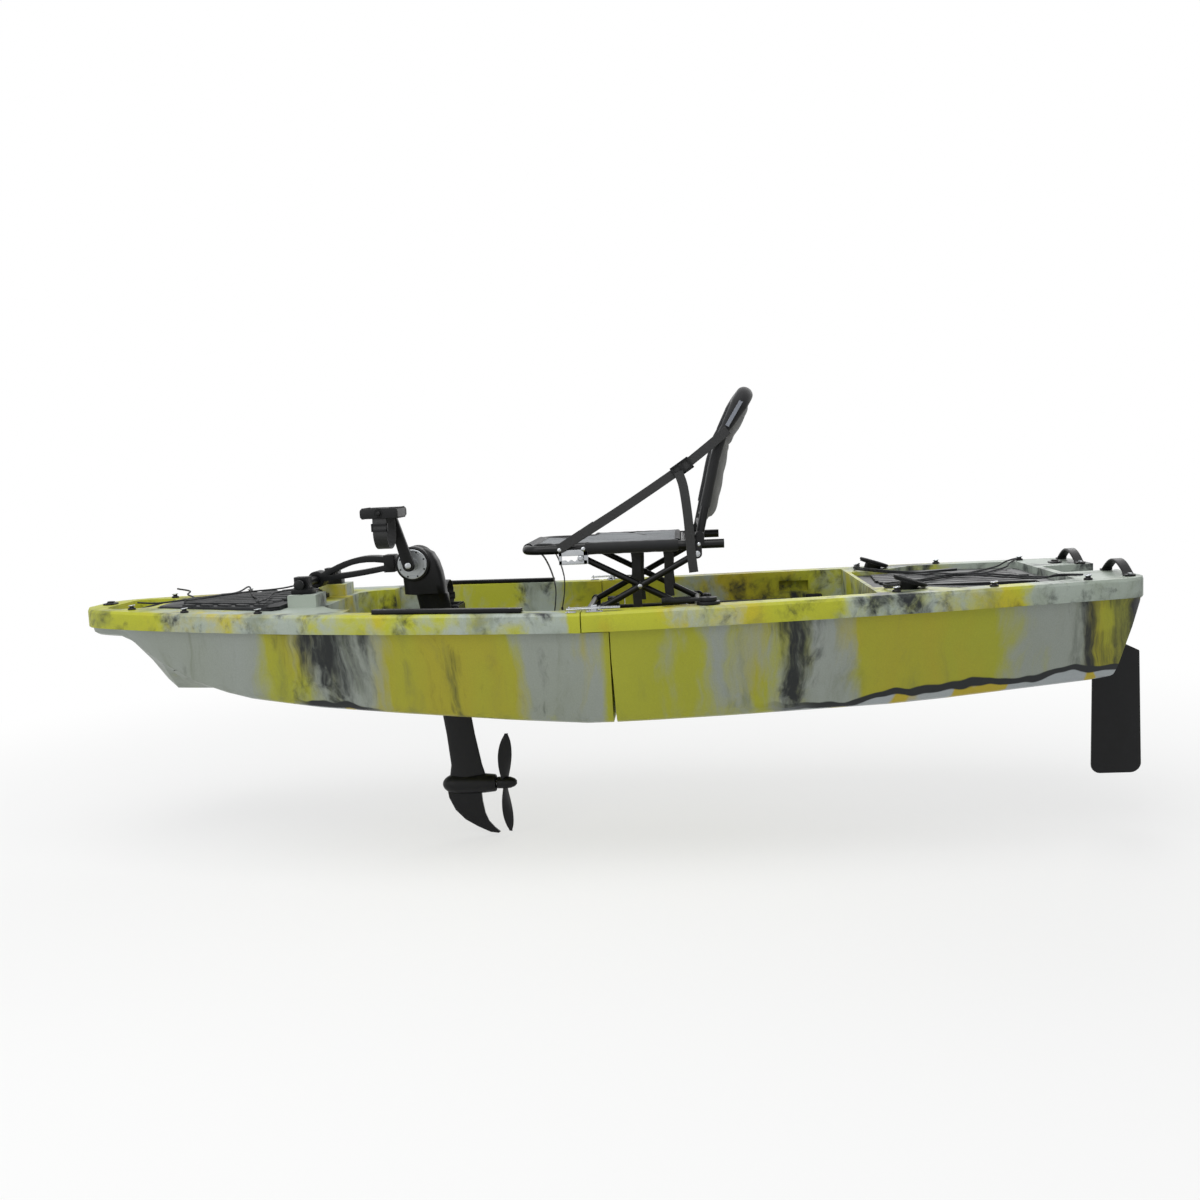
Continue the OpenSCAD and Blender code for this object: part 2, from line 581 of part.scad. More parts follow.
module pedal_port() color("black") mirror([0, 1, 0]) pedal(-1);
module pedal_stbd() color("black") pedal(1);

// console tray with its cup holder, seated in the trough behind the drive
cup_x = -236;
tray_z = deck_z;
module console_tray() color("#222222") difference() {
    union() {
        translate([tray_front, -trough_y - 10, tray_z + gap])
            cube([tray_back + 10 - tray_front, 2 * trough_y + 20, 9]);
        translate([tray_front, -trough_y + 2, 172]) cube([tray_back - tray_front, 2 * trough_y - 4, deck_z - 171]);
    }
    translate([tray_front + 12, -60, 182]) cube([78, 120, 60]);
    translate([cup_x, 0, 176]) cylinder(r = cup_r, h = 60);
    translate([cup_x + 56, -60, 190]) cube([70, 120, 60]);
}
mat_t = 4;
module foot_mats() color("#222222") mirrored() difference() {
    translate([0, 0, foot_z + gap]) linear_extrude(mat_t) polygon([
        [mat_front, foot_y + 6], [mat_back, foot_y + 6], [mat_back, half_beam(mat_back) - rim_w - 26],
        [mat_front, half_beam(mat_front) - rim_w - 26]]);
    translate([scupper_x, scupper_y, 0]) cylinder(r = scupper_r + 10, h = 400);
}
module access_plates() color("#222222") mirrored() difference() {
    translate([0, 0, deck_z - 4 + gap]) linear_extrude(7)
        polygon(round_rect(plate_x[0], plate_x[1], plate_y[0], plate_y[1], 17));
    translate([-196, 221, deck_z]) linear_extrude(20) polygon(round_rect(-38, 38, -24, 24, 12));
}
track_x = [-546, -152];
track_w = 24;
track_yaw = 4.3;
track_mid_y = 395;
module track_place() on_deck((track_x[0] + track_x[1]) / 2, track_mid_y) rotate([0, 0, track_yaw])
    translate([0, 0, gap]) children();
track_l = track_x[1] - track_x[0];
module gunwale_tracks() color("black") mirrored() track_place() difference() {
    translate([-track_l / 2, -track_w / 2, 0]) cube([track_l, track_w, 12]);
    translate([-track_l / 2 + 10, -4, 4]) cube([track_l - 20, 8, 20]);
    translate([-track_l / 2 + 10, -8, 3]) cube([track_l - 20, 16, 5]);
}
handle_x = stern_len - 34;
handle_y = [108, 276];
module deck_screws() color("silver") {
    mirrored() for (x = [plate_x[0] + 10 : 61 : plate_x[1]]) for (y = [plate_y[0] + 9, plate_y[1] - 9])
        translate([x, y, deck_z + 3 + gap]) screw(3.5, 2);
    mirrored() for (y = [plate_y[0] + 75, plate_y[1] - 75]) for (x = [plate_x[0] + 9, plate_x[1] - 9])
        translate([x, y, deck_z + 3 + gap]) screw(3.5, 2);
    mirrored() for (y = [handle_y[0] - 7, handle_y[1] + 7])
        on_deck(handle_x, y) translate([0, 0, gap + 5]) cylinder(r = 5.5, h = 4, $fn = 6);
}

// toggle latches over the joint
latch_y = 432;
latch_pin = [34, 10];
loop_pin = [48, 10];
hook_x = -34;
latch_z = depth + 1.25;
module latch_bases() color("silver") mirrored() translate([0, latch_y, latch_z]) {
    translate([14, -11, 0]) cube([42, 22, 2]);
    for (y = [-11, 8.8]) translate([latch_pin[0] - 7, y, 0]) cube([14, 2.2, 16]);
    translate([latch_pin[0], 0, latch_pin[1]]) across(2, -11, 11);
}
module latch_strikes() color("silver") mirrored() translate([0, latch_y, depth + 0.9]) {
    translate([hook_x - 4, -11, 0]) cube([26, 22, 2]);
    translate([hook_x + 4, -6, 0]) cube([3, 12, 14.6]);
    translate([hook_x + 2.8, -6, 11.6]) cube([4.2, 12, 3]);
}
module latch_lever() translate([0, latch_y, latch_z]) difference() {
    union() {
        translate([latch_pin[0], 0, latch_pin[1]]) across(4.5, -8.2, 8.2);
        translate([latch_pin[0], -8.2, latch_pin[1] - 2]) cube([66, 16.4, 4]);
        translate([loop_pin[0], 0, loop_pin[1]]) across(4, -8.2, 8.2);
    }
    translate([latch_pin[0], 0, latch_pin[1]]) across(2 + fit, -20, 20);
    translate([loop_pin[0], 0, loop_pin[1]]) across(1.5 + fit, -20, 20);
}
module latch_loop() translate([0, latch_y, latch_z]) {
    translate([loop_pin[0], 0, loop_pin[1]]) across(1.5, -14, 14);
    for (y = [-14, 14]) hull() {
        translate([loop_pin[0], y, loop_pin[1]]) sphere(r = 1.5, $fn = 16);
        translate([hook_x, y, 9]) sphere(r = 1.5, $fn = 16);
    }
    translate([hook_x, 0, 9]) across(1.5, -14, 14);
}
module latch_lever_port() color("silver") mirror([0, 1, 0]) latch_lever();
module latch_lever_stbd() color("silver") latch_lever();
module latch_loop_port() color("silver") mirror([0, 1, 0]) latch_loop();
module latch_loop_stbd() color("silver") latch_loop();
bolt_lift = 0.7;
module joint_bolts() color("silver") mirrored() on_deck(bolt_x, bolt_y) translate([0, 0, bolt_lift]) {
    cylinder(r = 12, h = 2);
    translate([0, 0, 2]) cylinder(r = 9, h = 7, $fn = 6);
}

// seat tracks and the brackets that slide on them
seat_track_y = 265;
seat_track_x = [-1 + seam_gap, 724];
seat_track_h = 14;
module seat_tracks() color("black") mirrored() translate([0, seat_track_y, seat_deck_z]) difference() {
    translate([seat_track_x[0], -13, 0]) cube([seat_track_x[1] - seat_track_x[0], 26, seat_track_h]);
    translate([seat_track_x[0] + 4, -8, 4]) cube([seat_track_x[1] - seat_track_x[0] - 8, 16, 7]);
    translate([seat_track_x[0] + 4, -4, 4]) cube([seat_track_x[1] - seat_track_x[0] - 8, 8, 20]);
}
front_pivot = [-10, 260];
rear_pivot = [front_pivot[0] + leg_len * cos(leg_angle), front_pivot[1]];
top_z = front_pivot[1] + leg_len * sin(leg_angle);
mid_pivot = [front_pivot[0] + leg_len / 2 * cos(leg_angle), front_pivot[1] + leg_len / 2 * sin(leg_angle)];
lug_y = [239, 249];
leg_b_y = 227.5;
leg_a_y = 207;
leg_r = 9;
pin_r = 5;
bracket_z = seat_deck_z + seat_track_h + gap;
module slider_foot(x0, x1) {
    translate([x0, seat_track_y - 3.7, seat_deck_z + 8]) cube([x1 - x0, 7.4, bracket_z - seat_deck_z - 7]);
    translate([x0, seat_track_y - 7.6, seat_deck_z + 4.4]) cube([x1 - x0, 15.2, 6.2]);
    translate([x0, lug_y[0], bracket_z]) cube([x1 - x0, 46, 8]);
}
module lug(x, slot) plate_y(lug_y[0], lug_y[1]) difference() {
    union() {
        translate([x - 14 - slot, bracket_z]) square([28 + 2 * slot, front_pivot[1] - bracket_z]);
        translate([x - slot, front_pivot[1]]) circle(r = 13);
        translate([x + slot, front_pivot[1]]) circle(r = 13);
    }
    hull() for (s = [-slot, slot]) translate([x + s, front_pivot[1]]) circle(r = pin_r + fit);
}
module knob(x) translate([x, seat_track_y + 4, bracket_z + 8]) {
    cylinder(r = 7, h = 6);
    translate([0, 0, 6]) cylinder(r = 15, h = 10, $fn = 24);
}
module front_brackets() color("black") mirrored() {
    slider_foot(6, 60);
    translate([front_pivot[0] - 14, lug_y[0], bracket_z]) cube([30, lug_y[1] - lug_y[0], 8]);
    lug_plain();
    knob(40);
}
module lug_plain() plate_y(lug_y[0], lug_y[1]) difference() {
    union() {
        translate([front_pivot[0] - 14, bracket_z]) square([28, front_pivot[1] - bracket_z]);
        translate(front_pivot) circle(r = 13);
    }
    translate(front_pivot) circle(r = pin_r + fit);
}
module rear_brackets() color("black") mirrored() {
    slider_foot(rear_pivot[0] - 30, rear_pivot[0] + 48);
    lug(rear_pivot[0], 6);
    knob(rear_pivot[0] + 28);
}
module leg_bar(a, b, y) hull() for (p = [a, b]) translate([p[0], 0, p[1]]) across(leg_r, y - leg_r, y + leg_r);
module pin_at(p, r, y0, y1) translate([p[0], 0, p[1]]) across(r, y0, y1);
module legs_b() color("#222222") {
    mirrored() {
        leg_bar(front_pivot, [rear_pivot[0], top_z], leg_b_y);
        pin_at(front_pivot, pin_r, leg_b_y + leg_r, lug_y[1] + 3);
        pin_at([rear_pivot[0], top_z], pin_r, leg_b_y + leg_r, lug_y[1] + 3);
        pin_at(mid_pivot, pin_r, leg_a_y - leg_r - 2, leg_b_y - leg_r);
    }
    pin_at(front_pivot, leg_r, -leg_b_y + leg_r, leg_b_y - leg_r);
}
module legs_a() color("#222222") {
    mirrored() {
        difference() {
            leg_bar(rear_pivot, [front_pivot[0], top_z], leg_a_y);
            pin_at(mid_pivot, pin_r + fit, 0, 400);
        }
        pin_at(rear_pivot, pin_r, leg_a_y + leg_r, lug_y[1] + 3);
        pin_at([front_pivot[0], top_z], pin_r, leg_a_y + leg_r, lug_y[1] + 3);
    }
    pin_at(rear_pivot, leg_r, -leg_a_y + leg_r, leg_a_y - leg_r);
    pin_at([front_pivot[0], top_z], leg_r, -leg_a_y + leg_r, leg_a_y - leg_r);
}
rail_y = seat_w / 2 - tube_r;
rail_over_pivot = 24.305;
rail_z = top_z + rail_over_pivot;
rail_x = [-120, 372];
seat_front = -160;
back_pivot = [308, rail_z + tube_r + 12];
module seat_frame() color("black") {
    mirrored() {
        difference() {
            translate([0, rail_y, rail_z]) along_x(tube_r, rail_x[0], rail_x[1]);
            translate([rail_x[1] - 20, rail_y, rail_z]) along_x(tube_r - 2, 0, 30);
        }
        hull() {
            translate([rail_x[0] + 3, rail_y - 1, rail_z]) sphere(r = tube_r - 0.7, $fn = 24);
            translate([seat_front, rail_y - 48, rail_z]) sphere(r = tube_r - 0.7, $fn = 24);
        }
        difference() {
            union() {
                plate_y(lug_y[0], lug_y[1]) {
                    translate([rear_pivot[0] - 14, top_z]) square([28, rail_z - top_z]);
                    translate([rear_pivot[0], top_z]) circle(r = 13);
                }
                plate_y(241, 247) {
                    translate([back_pivot[0] - 12, rail_z]) square([24, back_pivot[1] - rail_z]);
                    translate(back_pivot) circle(r = 12);
                }
            }
            pin_at([rear_pivot[0], top_z], pin_r + fit, 230, 260);
            pin_at(back_pivot, pin_r + fit, 230, 260);
        }
        plate_y(lug_y[0], lug_y[1]) difference() {
            translate([front_pivot[0] - 58, top_z - 16]) square([76, rail_z - top_z + 16]);
            hull() for (x = [-44, 0]) translate([front_pivot[0] + x, top_z]) circle(r = pin_r + fit);
        }
    }
    translate([seat_front, 0, rail_z]) across(tube_r, -rail_y + 48, rail_y - 48);
    translate([262, 0, rail_z - 1]) across(tube_r - 2, -rail_y + 6, rail_y - 6);
}
// seat panel, slightly slung between the tubes, with a front edge rolled over the front tube
panel_t = 5;
panel_n = [14, 16];
panel_half = rail_y - tube_r - gap;
panel_x = [seat_front + tube_r + gap, 249];
function panel_px(i) = panel_x[0] + (panel_x[1] - panel_x[0]) * i / panel_n[0];
function panel_w(x) = min(panel_half, panel_half - 52 * (rail_x[0] + 30 - x) / 70);
function panel_py(x, j) = panel_w(x) * (2 * j / panel_n[1] - 1);
function panel_sag(i) = 3 + 10 * sin(180 * i / panel_n[0]);
function panel_pz(x, y, i) = rail_z + 2 - panel_sag(i) * (1 - pow(y / panel_half, 2));
module seat_mesh() color("gray") skin([for (i = [0 : panel_n[0]]) let (x = panel_px(i)) concat(
    [for (j = [0 : panel_n[1]]) let (y = panel_py(x, j)) [x, y, panel_pz(x, y, i) - panel_t / 2]],
    [for (j = [panel_n[1] : -1 : 0]) let (y = panel_py(x, j)) [x, y, panel_pz(x, y, i) + panel_t / 2]])]);
back_y = 229;
back_r = 11;
back_bend = [back_pivot[0] + 59, back_pivot[1] + 247];
back_top = [back_bend[0] + 74, back_bend[1] + 118];
module back_frame() color("black") {
    mirrored() {
        hull() for (p = [back_pivot, back_bend]) translate([p[0], back_y, p[1]]) sphere(r = back_r, $fn = 32);
        hull() for (p = [back_bend, back_top]) translate([p[0], p == back_top ? back_y - 40 : back_y, p[1]])
            sphere(r = back_r, $fn = 32);
        pin_at(back_pivot, pin_r, back_y, 250);
    }
    translate([back_top[0], 0, back_top[1]]) across(back_r, -back_y + 40, back_y - 40);
    translate([back_pivot[0] + 4, 0, back_pivot[1] + 20]) across(back_r - 3, -back_y + 8, back_y - 8);
}
back_n = [12, 12];
back_low = [back_pivot[0] + 6, back_pivot[1] + 34];
function spine(i) = i <= 8 ? back_low + (back_bend - back_low) * i / 8
    : back_bend + (back_top - back_bend) * (i - 8) / 4.6;
function back_w(i) = (i <= 8 ? back_y : back_y - 1 - 40 * (i - 8) / 4.6) - back_r - gap;
function crown(j) = 1 - pow(2 * j / back_n[1] - 1, 2);
module back_mesh() color("dimgray") skin([for (i = [0 : back_n[0]]) let (s = spine(i), w = back_w(i)) concat(
    [for (j = [0 : back_n[1]]) [s[0] - 13 + 14 * crown(j), w * (2 * j / back_n[1] - 1), s[1]]],
    [for (j = [back_n[1] : -1 : 0]) [s[0] + 9 + 20 * crown(j), w * (2 * j / back_n[1] - 1), s[1]]])]);
// side straps from the seat front to the back, with a buckle and a hanging tail
strap_y = [249.3, 251.8];
strap_front = [front_pivot[0] - 57, rail_z];
strap_back = [back_bend[0] + 24, back_bend[1] + 25];
buckle = [strap_back[0] - 123, strap_back[1] - 93];
module seat_straps() color("black") mirrored() {
    plate_y(strap_y[0], strap_y[1]) hull() for (p = [strap_front, strap_back]) translate(p) circle(r = 12, $fn = 24);
    plate_y(strap_y[1], strap_y[1] + 6) translate(buckle) rotate(33) square([56, 32], center = true);
    plate_y(strap_y[1] + 6, strap_y[1] + 8) translate(buckle) polygon([[-6, 0], [18, 0], [32, -270], [8, -270]]);
}

// stern tank well cover, lifted off by its cords
module tank_cover() color("#222222") {
    translate([0, 0, cover_z + gap]) linear_extrude(cover_t) polygon(both_sides(cover_inset(-1)));
    intersection() {
        translate([0, 0, cover_z + cover_t]) linear_extrude(14) polygon(both_sides(cover_inset(-12)));
        union() {
            for (y = [-168 : 48 : 168]) translate([800, y - 20, cover_z + cover_t]) cube([400, 40, 8]);
            mirrored() translate([880, 196, cover_z + cover_t]) rotate([0, 0, 24]) cube([220, 40, 8]);
        }
    }
}
stern_cord_z = cover_z + cover_t + 8 + cord_r + 1;
stern_cord = [
    [806, -335, 9], [784, -285, 5], [796, -232, 5], [880, -140, 0], [1020, 0, 0], [1180, 200, 0],
    [1230, 250, 12], [1276, 300, 15], [1236, 235, 8], [1200, 170, 0], [1050, 0, 0], [890, 140, 0],
    [796, 232, 5], [784, 285, 5], [806, 335, 9]];
module stern_bungee() color("black") {
    tube([for (p = stern_cord) [p[0], p[1], stern_cord_z + p[2]]], cord_r);
    tube([for (p = stern_cord) [p[0], -p[1], stern_cord_z + p[2] + 2 * cord_r + 0.6]], cord_r);
}
module rod_tubes() color("black") mirrored() rod_axis() difference() {
    union() {
        translate([0, 0, -rod_depth + 10]) cylinder(r = rod_r + 2.6, h = rod_depth - 10 + flange_top);
        translate([0, 0, flange_top - 4]) cylinder(r = rod_r + 20, h = 4);
    }
    translate([0, 0, -rod_depth]) cylinder(r = rod_r, h = 400, $fn = 64);
}
module rod_cap() {
    rod_axis() {
        translate([0, 0, flange_top + gap]) cylinder(r = rod_r + 22, h = 7);
        translate([0, 0, 2]) cylinder(r = rod_r - gap, h = flange_top);
    }
}
module rod_cap_port() color("black") mirror([0, 1, 0]) rod_cap();
module rod_cap_stbd() color("black") rod_cap();
module scupper_plug() translate([floor_plug[0], floor_plug[1], seat_deck_z]) {
    translate([0, 0, gap]) cylinder(r = scupper_r + 5, h = 6);
    translate([0, 0, -40]) cylinder(r = scupper_r - gap, h = 41);
}
module scupper_plug_port() color("black") mirror([0, 1, 0]) scupper_plug();
module scupper_plug_stbd() color("black") scupper_plug();
handle_w = 26;
handle_rise = 34;
function handle_at(i) = handle_y[0] + (handle_y[1] - handle_y[0]) * i / 12;
module stern_handles() color("black") mirrored() on_deck(handle_x, 0) translate([-handle_w / 2, 0, gap])
    rotate([90, 0, 90]) linear_extrude(handle_w) difference() {
        polygon(concat([[handle_y[0] - 14, 0], [handle_y[0] - 14, 5]],
            [for (i = [0 : 12]) [handle_at(i), 5 + handle_rise * sin(15 * i)]],
            [[handle_y[1] + 14, 5], [handle_y[1] + 14, 0]]));
        polygon(concat([[handle_y[0] + 12, -1]],
            [for (i = [1 : 11]) [handle_at(i), -1 + (handle_rise - 1) * sin(15 * i)]],
            [[handle_y[1] - 12, -1]]));
    }

// steering: hand lever on the port gunwale, cables, bracket, yoke and blade
steer_x = 322;
steer_y = -402;
module steer_base() color("black") on_deck(steer_x, steer_y) {
    difference() {
        translate([0, 0, gap]) cylinder(r = 30, h = 8);
        translate([0, 0, 3]) cylinder(r = 24, h = 1);
    }
    translate([0, 0, 8]) cylinder(r = 5, h = 12);
}
module steer_lever() color("black") on_deck(steer_x, steer_y) difference() {
    union() {
        translate([0, 0, 8 + 2 * gap]) cylinder(r = 22, h = 10);
        hull() {
            translate([0, 0, 10]) cylinder(r = 12, h = 8, $fn = 32);
            translate([-110, 0, 10]) cylinder(r = 8, h = 8, $fn = 32);
        }
    }
    translate([0, 0, -1]) cylinder(r = 5 + fit, h = 60);
}
steer_axis = stern_len + 18;
barrel_z = [196, 240];
yoke_arm = 65;
module rudder_bracket() color("black") difference() {
    union() {
        translate([notch_x + 30, -40, notch_z + gap]) cube([80, 80, 6]);
        translate([notch_x + 90, -12, notch_z + gap]) cube([steer_axis - notch_x - 90, 24, 20]);
        translate([steer_axis, 0, barrel_z[0]]) cylinder(r = 16, h = barrel_z[1] - barrel_z[0]);
        for (x = [notch_x + 44, notch_x + 76]) for (y = [-28, 28])
            translate([x, y, notch_z + gap + 6]) cylinder(r = 5, h = 4, $fn = 6);
    }
    translate([steer_axis, 0, 100]) cylinder(r = 6 + fit, h = 300);
}
blade_pin = [steer_axis + 4, 104];
blade_t = 10;
module rudder_yoke() color("black") difference() {
    union() {
        translate([steer_axis, 0, 150]) cylinder(r = 6, h = 104);
        translate([steer_axis - 16, -yoke_arm - 8, barrel_z[1] + gap]) cube([28, 2 * yoke_arm + 16, 6]);
        translate([steer_axis - 16, -14, 140]) cube([28, 28, barrel_z[0] - gap - 140]);
        mirrored() translate([blade_pin[0] - 16, blade_t / 2 + gap, blade_pin[1] - 16]) cube([32, 8, 60]);
    }
    translate([blade_pin[0], 0, blade_pin[1]]) across(5, -40, 40);
}
blade_x = [blade_pin[0] - 60, blade_pin[0] - 60 + blade_w];
module rudder_blade() color("black") {
    plate_y(-blade_t / 2, blade_t / 2) polygon(concat(
        arc([blade_x[0] + 24, blade_pin[1] - blade_h + 24], 24, 180, 270, 5),
        arc([blade_x[1] - 30, blade_pin[1] - blade_h + 30], 30, 270, 350, 5),
        [[blade_x[1] - 6, blade_pin[1] - 20]], arc([blade_pin[0], blade_pin[1]], 20, 20, 160, 8),
        [[blade_x[0] + 4, blade_pin[1] - 26]]));
    translate([blade_pin[0], 0, blade_pin[1]]) across(5 - fit, -18, 18);
}
module rudder_cables() color("silver") mirrored()
    translate([0, yoke_arm, barrel_z[1] + 3]) along_x(1.5, notch_x + gap, steer_axis - 16 - gap);
// deck cord on the starboard side, from its cleat to its toggle: x, distance in from half the beam
deck_cord_path = [[20, 107], [60, 101], [150, 97], [250, 95], [345, 97], [430, 103], [520, 109], [640, 113]];
module deck_cord() color("black") {
    tube([for (p = deck_cord_path) [p[0], beam / 2 - p[1], seat_deck_z + cord_r + gap]], cord_r);
    translate([660, beam / 2 - 113, seat_deck_z + 9 + gap]) along_x(9, -20, 30);
    translate([20, beam / 2 - 107, seat_deck_z + 7 + gap]) along_x(7, -10, 10);
}

bow_hull();
stern_hull();
drain_plugs();
bow_grip();
hatch_gasket();
bow_lid();
lid_brackets();
bow_bungee();
deck_eyes();
drive_clamps();
pivot_bar();
drive_arm();
drive_leg();
drum_covers();
gearcase();
crank_axle();
crank_port();
crank_stbd();
pedal_port();
pedal_stbd();
drive_shaft();
prop_shaft();
propeller();
console_tray();
foot_mats();
access_plates();
deck_screws();
gunwale_tracks();
latch_bases();
latch_strikes();
latch_lever_port();
latch_lever_stbd();
latch_loop_port();
latch_loop_stbd();
joint_bolts();
seat_tracks();
front_brackets();
rear_brackets();
legs_a();
legs_b();
seat_frame();
seat_mesh();
back_frame();
back_mesh();
seat_straps();
tank_cover();
stern_bungee();
rod_tubes();
rod_cap_port();
rod_cap_stbd();
scupper_plug_port();
scupper_plug_stbd();
stern_handles();
steer_base();
steer_lever();
rudder_cables();
rudder_bracket();
rudder_yoke();
rudder_blade();
deck_cord();
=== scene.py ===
# A two-module sit-on-top pedal kayak with a propeller drive, a raised mesh seat and a rudder.
import math

import bmesh
import bpy
from mathutils import Matrix, Vector


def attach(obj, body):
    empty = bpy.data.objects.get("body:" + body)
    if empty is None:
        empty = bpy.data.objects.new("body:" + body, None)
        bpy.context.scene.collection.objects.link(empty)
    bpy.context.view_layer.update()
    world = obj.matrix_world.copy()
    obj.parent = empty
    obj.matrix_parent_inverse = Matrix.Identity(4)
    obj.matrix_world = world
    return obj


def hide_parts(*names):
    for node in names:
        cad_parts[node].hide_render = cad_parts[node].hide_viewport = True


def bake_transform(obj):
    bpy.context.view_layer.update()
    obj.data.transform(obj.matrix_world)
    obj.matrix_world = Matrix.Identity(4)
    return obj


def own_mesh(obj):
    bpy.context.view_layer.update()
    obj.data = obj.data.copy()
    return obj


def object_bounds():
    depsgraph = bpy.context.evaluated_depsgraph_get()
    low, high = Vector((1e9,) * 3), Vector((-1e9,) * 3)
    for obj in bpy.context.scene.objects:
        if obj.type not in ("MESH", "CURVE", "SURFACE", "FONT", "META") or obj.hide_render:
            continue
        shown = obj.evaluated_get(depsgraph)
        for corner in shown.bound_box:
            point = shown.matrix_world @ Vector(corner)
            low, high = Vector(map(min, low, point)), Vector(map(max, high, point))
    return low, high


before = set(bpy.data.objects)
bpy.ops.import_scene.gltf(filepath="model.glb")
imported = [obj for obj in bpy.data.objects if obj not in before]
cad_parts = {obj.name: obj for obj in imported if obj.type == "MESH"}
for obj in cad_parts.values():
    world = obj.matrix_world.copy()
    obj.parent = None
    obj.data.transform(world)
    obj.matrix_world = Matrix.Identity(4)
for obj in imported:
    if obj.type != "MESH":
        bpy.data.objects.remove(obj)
cad_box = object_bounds()

# ---- Studio: camera, soft light and a plain pale floor ----
# The camera looks at the port side from just above the deck, yawed a little towards the bow and
# rolled so that the stern stands a little higher, as in the lower view of the photograph.


def put(name, data):
    """An object with this data, linked to the scene."""
    made = bpy.data.objects.new(name, data)
    bpy.context.scene.collection.objects.link(made)
    return made


camera = put("camera", bpy.data.cameras.new("camera"))
bpy.context.scene.camera = camera
bpy.context.scene.view_settings.view_transform = "Standard"
camera.data.lens, camera.data.sensor_width = 35.9, 36
camera.location = (0.264, -3.414, 0.66)
yaw, pitch, roll = math.radians(4.1), math.radians(-6.3), math.radians(-2.6)
look = Vector((-math.sin(yaw) * math.cos(pitch), math.cos(yaw) * math.cos(pitch), math.sin(pitch)))
camera.rotation_euler = (look.to_track_quat("-Z", "Y").to_matrix()
                         @ Matrix.Rotation(roll, 3, "Z")).to_euler()


def paint(code):
    """An sRGB hex colour as linear red, green, blue and alpha."""
    shares = [int(code[i:i + 2], 16) / 255 for i in (1, 3, 5)]
    return tuple(s / 12.92 if s <= 0.04045 else ((s + 0.055) / 1.055) ** 2.4 for s in shares) + (1,)


def add(tree, kind, inputs=None, **settings):
    """One node with its settings; an input is a value, a socket or a node whose first output feeds it."""
    made = tree.nodes.new(kind)
    for key, value in settings.items():
        setattr(made, key, value)
    for key, value in (inputs or {}).items():
        value = value.outputs[0] if isinstance(value, bpy.types.Node) else value
        if isinstance(value, bpy.types.NodeSocket):
            tree.links.new(value, made.inputs[key])
        else:
            made.inputs[key].default_value = value
    return made


def new_finish(name, roughness):
    """A material to be filled in: itself, tree, shader and coordinates."""
    made = bpy.data.materials.new(name)
    made.use_nodes = True
    base = made.node_tree.nodes["Principled BSDF"]
    base.inputs["Roughness"].default_value = roughness
    place = add(made.node_tree, "ShaderNodeTexCoord").outputs["Object"]
    return made, made.node_tree, base, place


world = bpy.data.worlds.new("studio")
bpy.context.scene.world = world
world.use_nodes = True
sky = world.node_tree
rays = add(sky, "ShaderNodeLightPath").outputs
seen = add(sky, "ShaderNodeMath", {0: rays["Is Camera Ray"], 1: rays["Is Glossy Ray"]}, operation="MAXIMUM")
seen = add(sky, "ShaderNodeMath", {0: seen, 1: rays["Is Transmission Ray"]}, operation="MAXIMUM")
lit = add(sky, "ShaderNodeBackground", {"Color": paint("#F4F6FA"), "Strength": 0.46})
white = add(sky, "ShaderNodeBackground", {"Color": (1, 1, 1, 1), "Strength": 1.0})
mixed = add(sky, "ShaderNodeMixShader", {0: seen, 1: lit, 2: white})
sky.links.new(mixed.outputs[0], sky.nodes["World Output"].inputs["Surface"])

for name, place, aim, size, watts in [
        ("top light", (-0.6, -1.6, 3.4), (0, 0, 0.2), 3.2, 92),
        ("side light", (-2.6, -3.0, 1.5), (-0.2, 0, 0.1), 1.8, 16),
        ("back light", (1.6, 3.2, 2.4), (0, 0, 0.2), 2.4, 42)]:
    lamp = put(name, bpy.data.lights.new(name, "AREA"))
    lamp.data.size, lamp.data.energy = size, watts
    lamp.location = place
    lamp.rotation_euler = (Vector(aim) - Vector(place)).to_track_quat("-Z", "Y").to_euler()

floor_z = cad_box[0].z - 0.004
bm = bmesh.new()
bmesh.ops.create_grid(bm, x_segments=1, y_segments=1, size=30)
bmesh.ops.translate(bm, verts=bm.verts, vec=(0, 0, floor_z))
floor_mesh = bpy.data.meshes.new("floor")
bm.to_mesh(floor_mesh)
bm.free()
floor = put("floor", floor_mesh)
floor_paint, tree, base, place = new_finish("pale studio floor", 0.9)
base.inputs["Base Color"].default_value = paint("#F2F2F0")
base.inputs["Specular IOR Level"].default_value = 0.1
rays = add(tree, "ShaderNodeLightPath").outputs
watched = add(tree, "ShaderNodeMath", {0: rays["Is Camera Ray"], 1: rays["Is Glossy Ray"]},
              operation="MAXIMUM")
spot = add(tree, "ShaderNodeVectorMath", {0: place, 1: (1, 1, 0)}, operation="MULTIPLY")
distance = add(tree, "ShaderNodeVectorMath", {0: spot}, operation="LENGTH").outputs["Value"]
fade = add(tree, "ShaderNodeMapRange", {"Value": distance, "From Min": 1.2, "From Max": 3.6,
                                        "To Min": 0.62}, interpolation_type="SMOOTHSTEP")
share = add(tree, "ShaderNodeMath", {0: watched, 1: fade}, operation="MULTIPLY")
glow = add(tree, "ShaderNodeEmission", {"Color": (1, 1, 1, 1), "Strength": 1.0})
faded = add(tree, "ShaderNodeMixShader", {0: share, 1: base, 2: glow})
tree.links.new(faded.outputs[0], tree.nodes["Material Output"].inputs["Surface"])
floor_mesh.materials.append(floor_paint)

# ---- Cords: the lacing over the lid and the cover, the deck cord and the rudder cables ----
# Shock cord is a rubber core in a braided black sheath, 5 mm thick, laced tight through pad eyes;
# the braid is drawn at 6 mm, coarser than the real 2 mm, so that it shows.


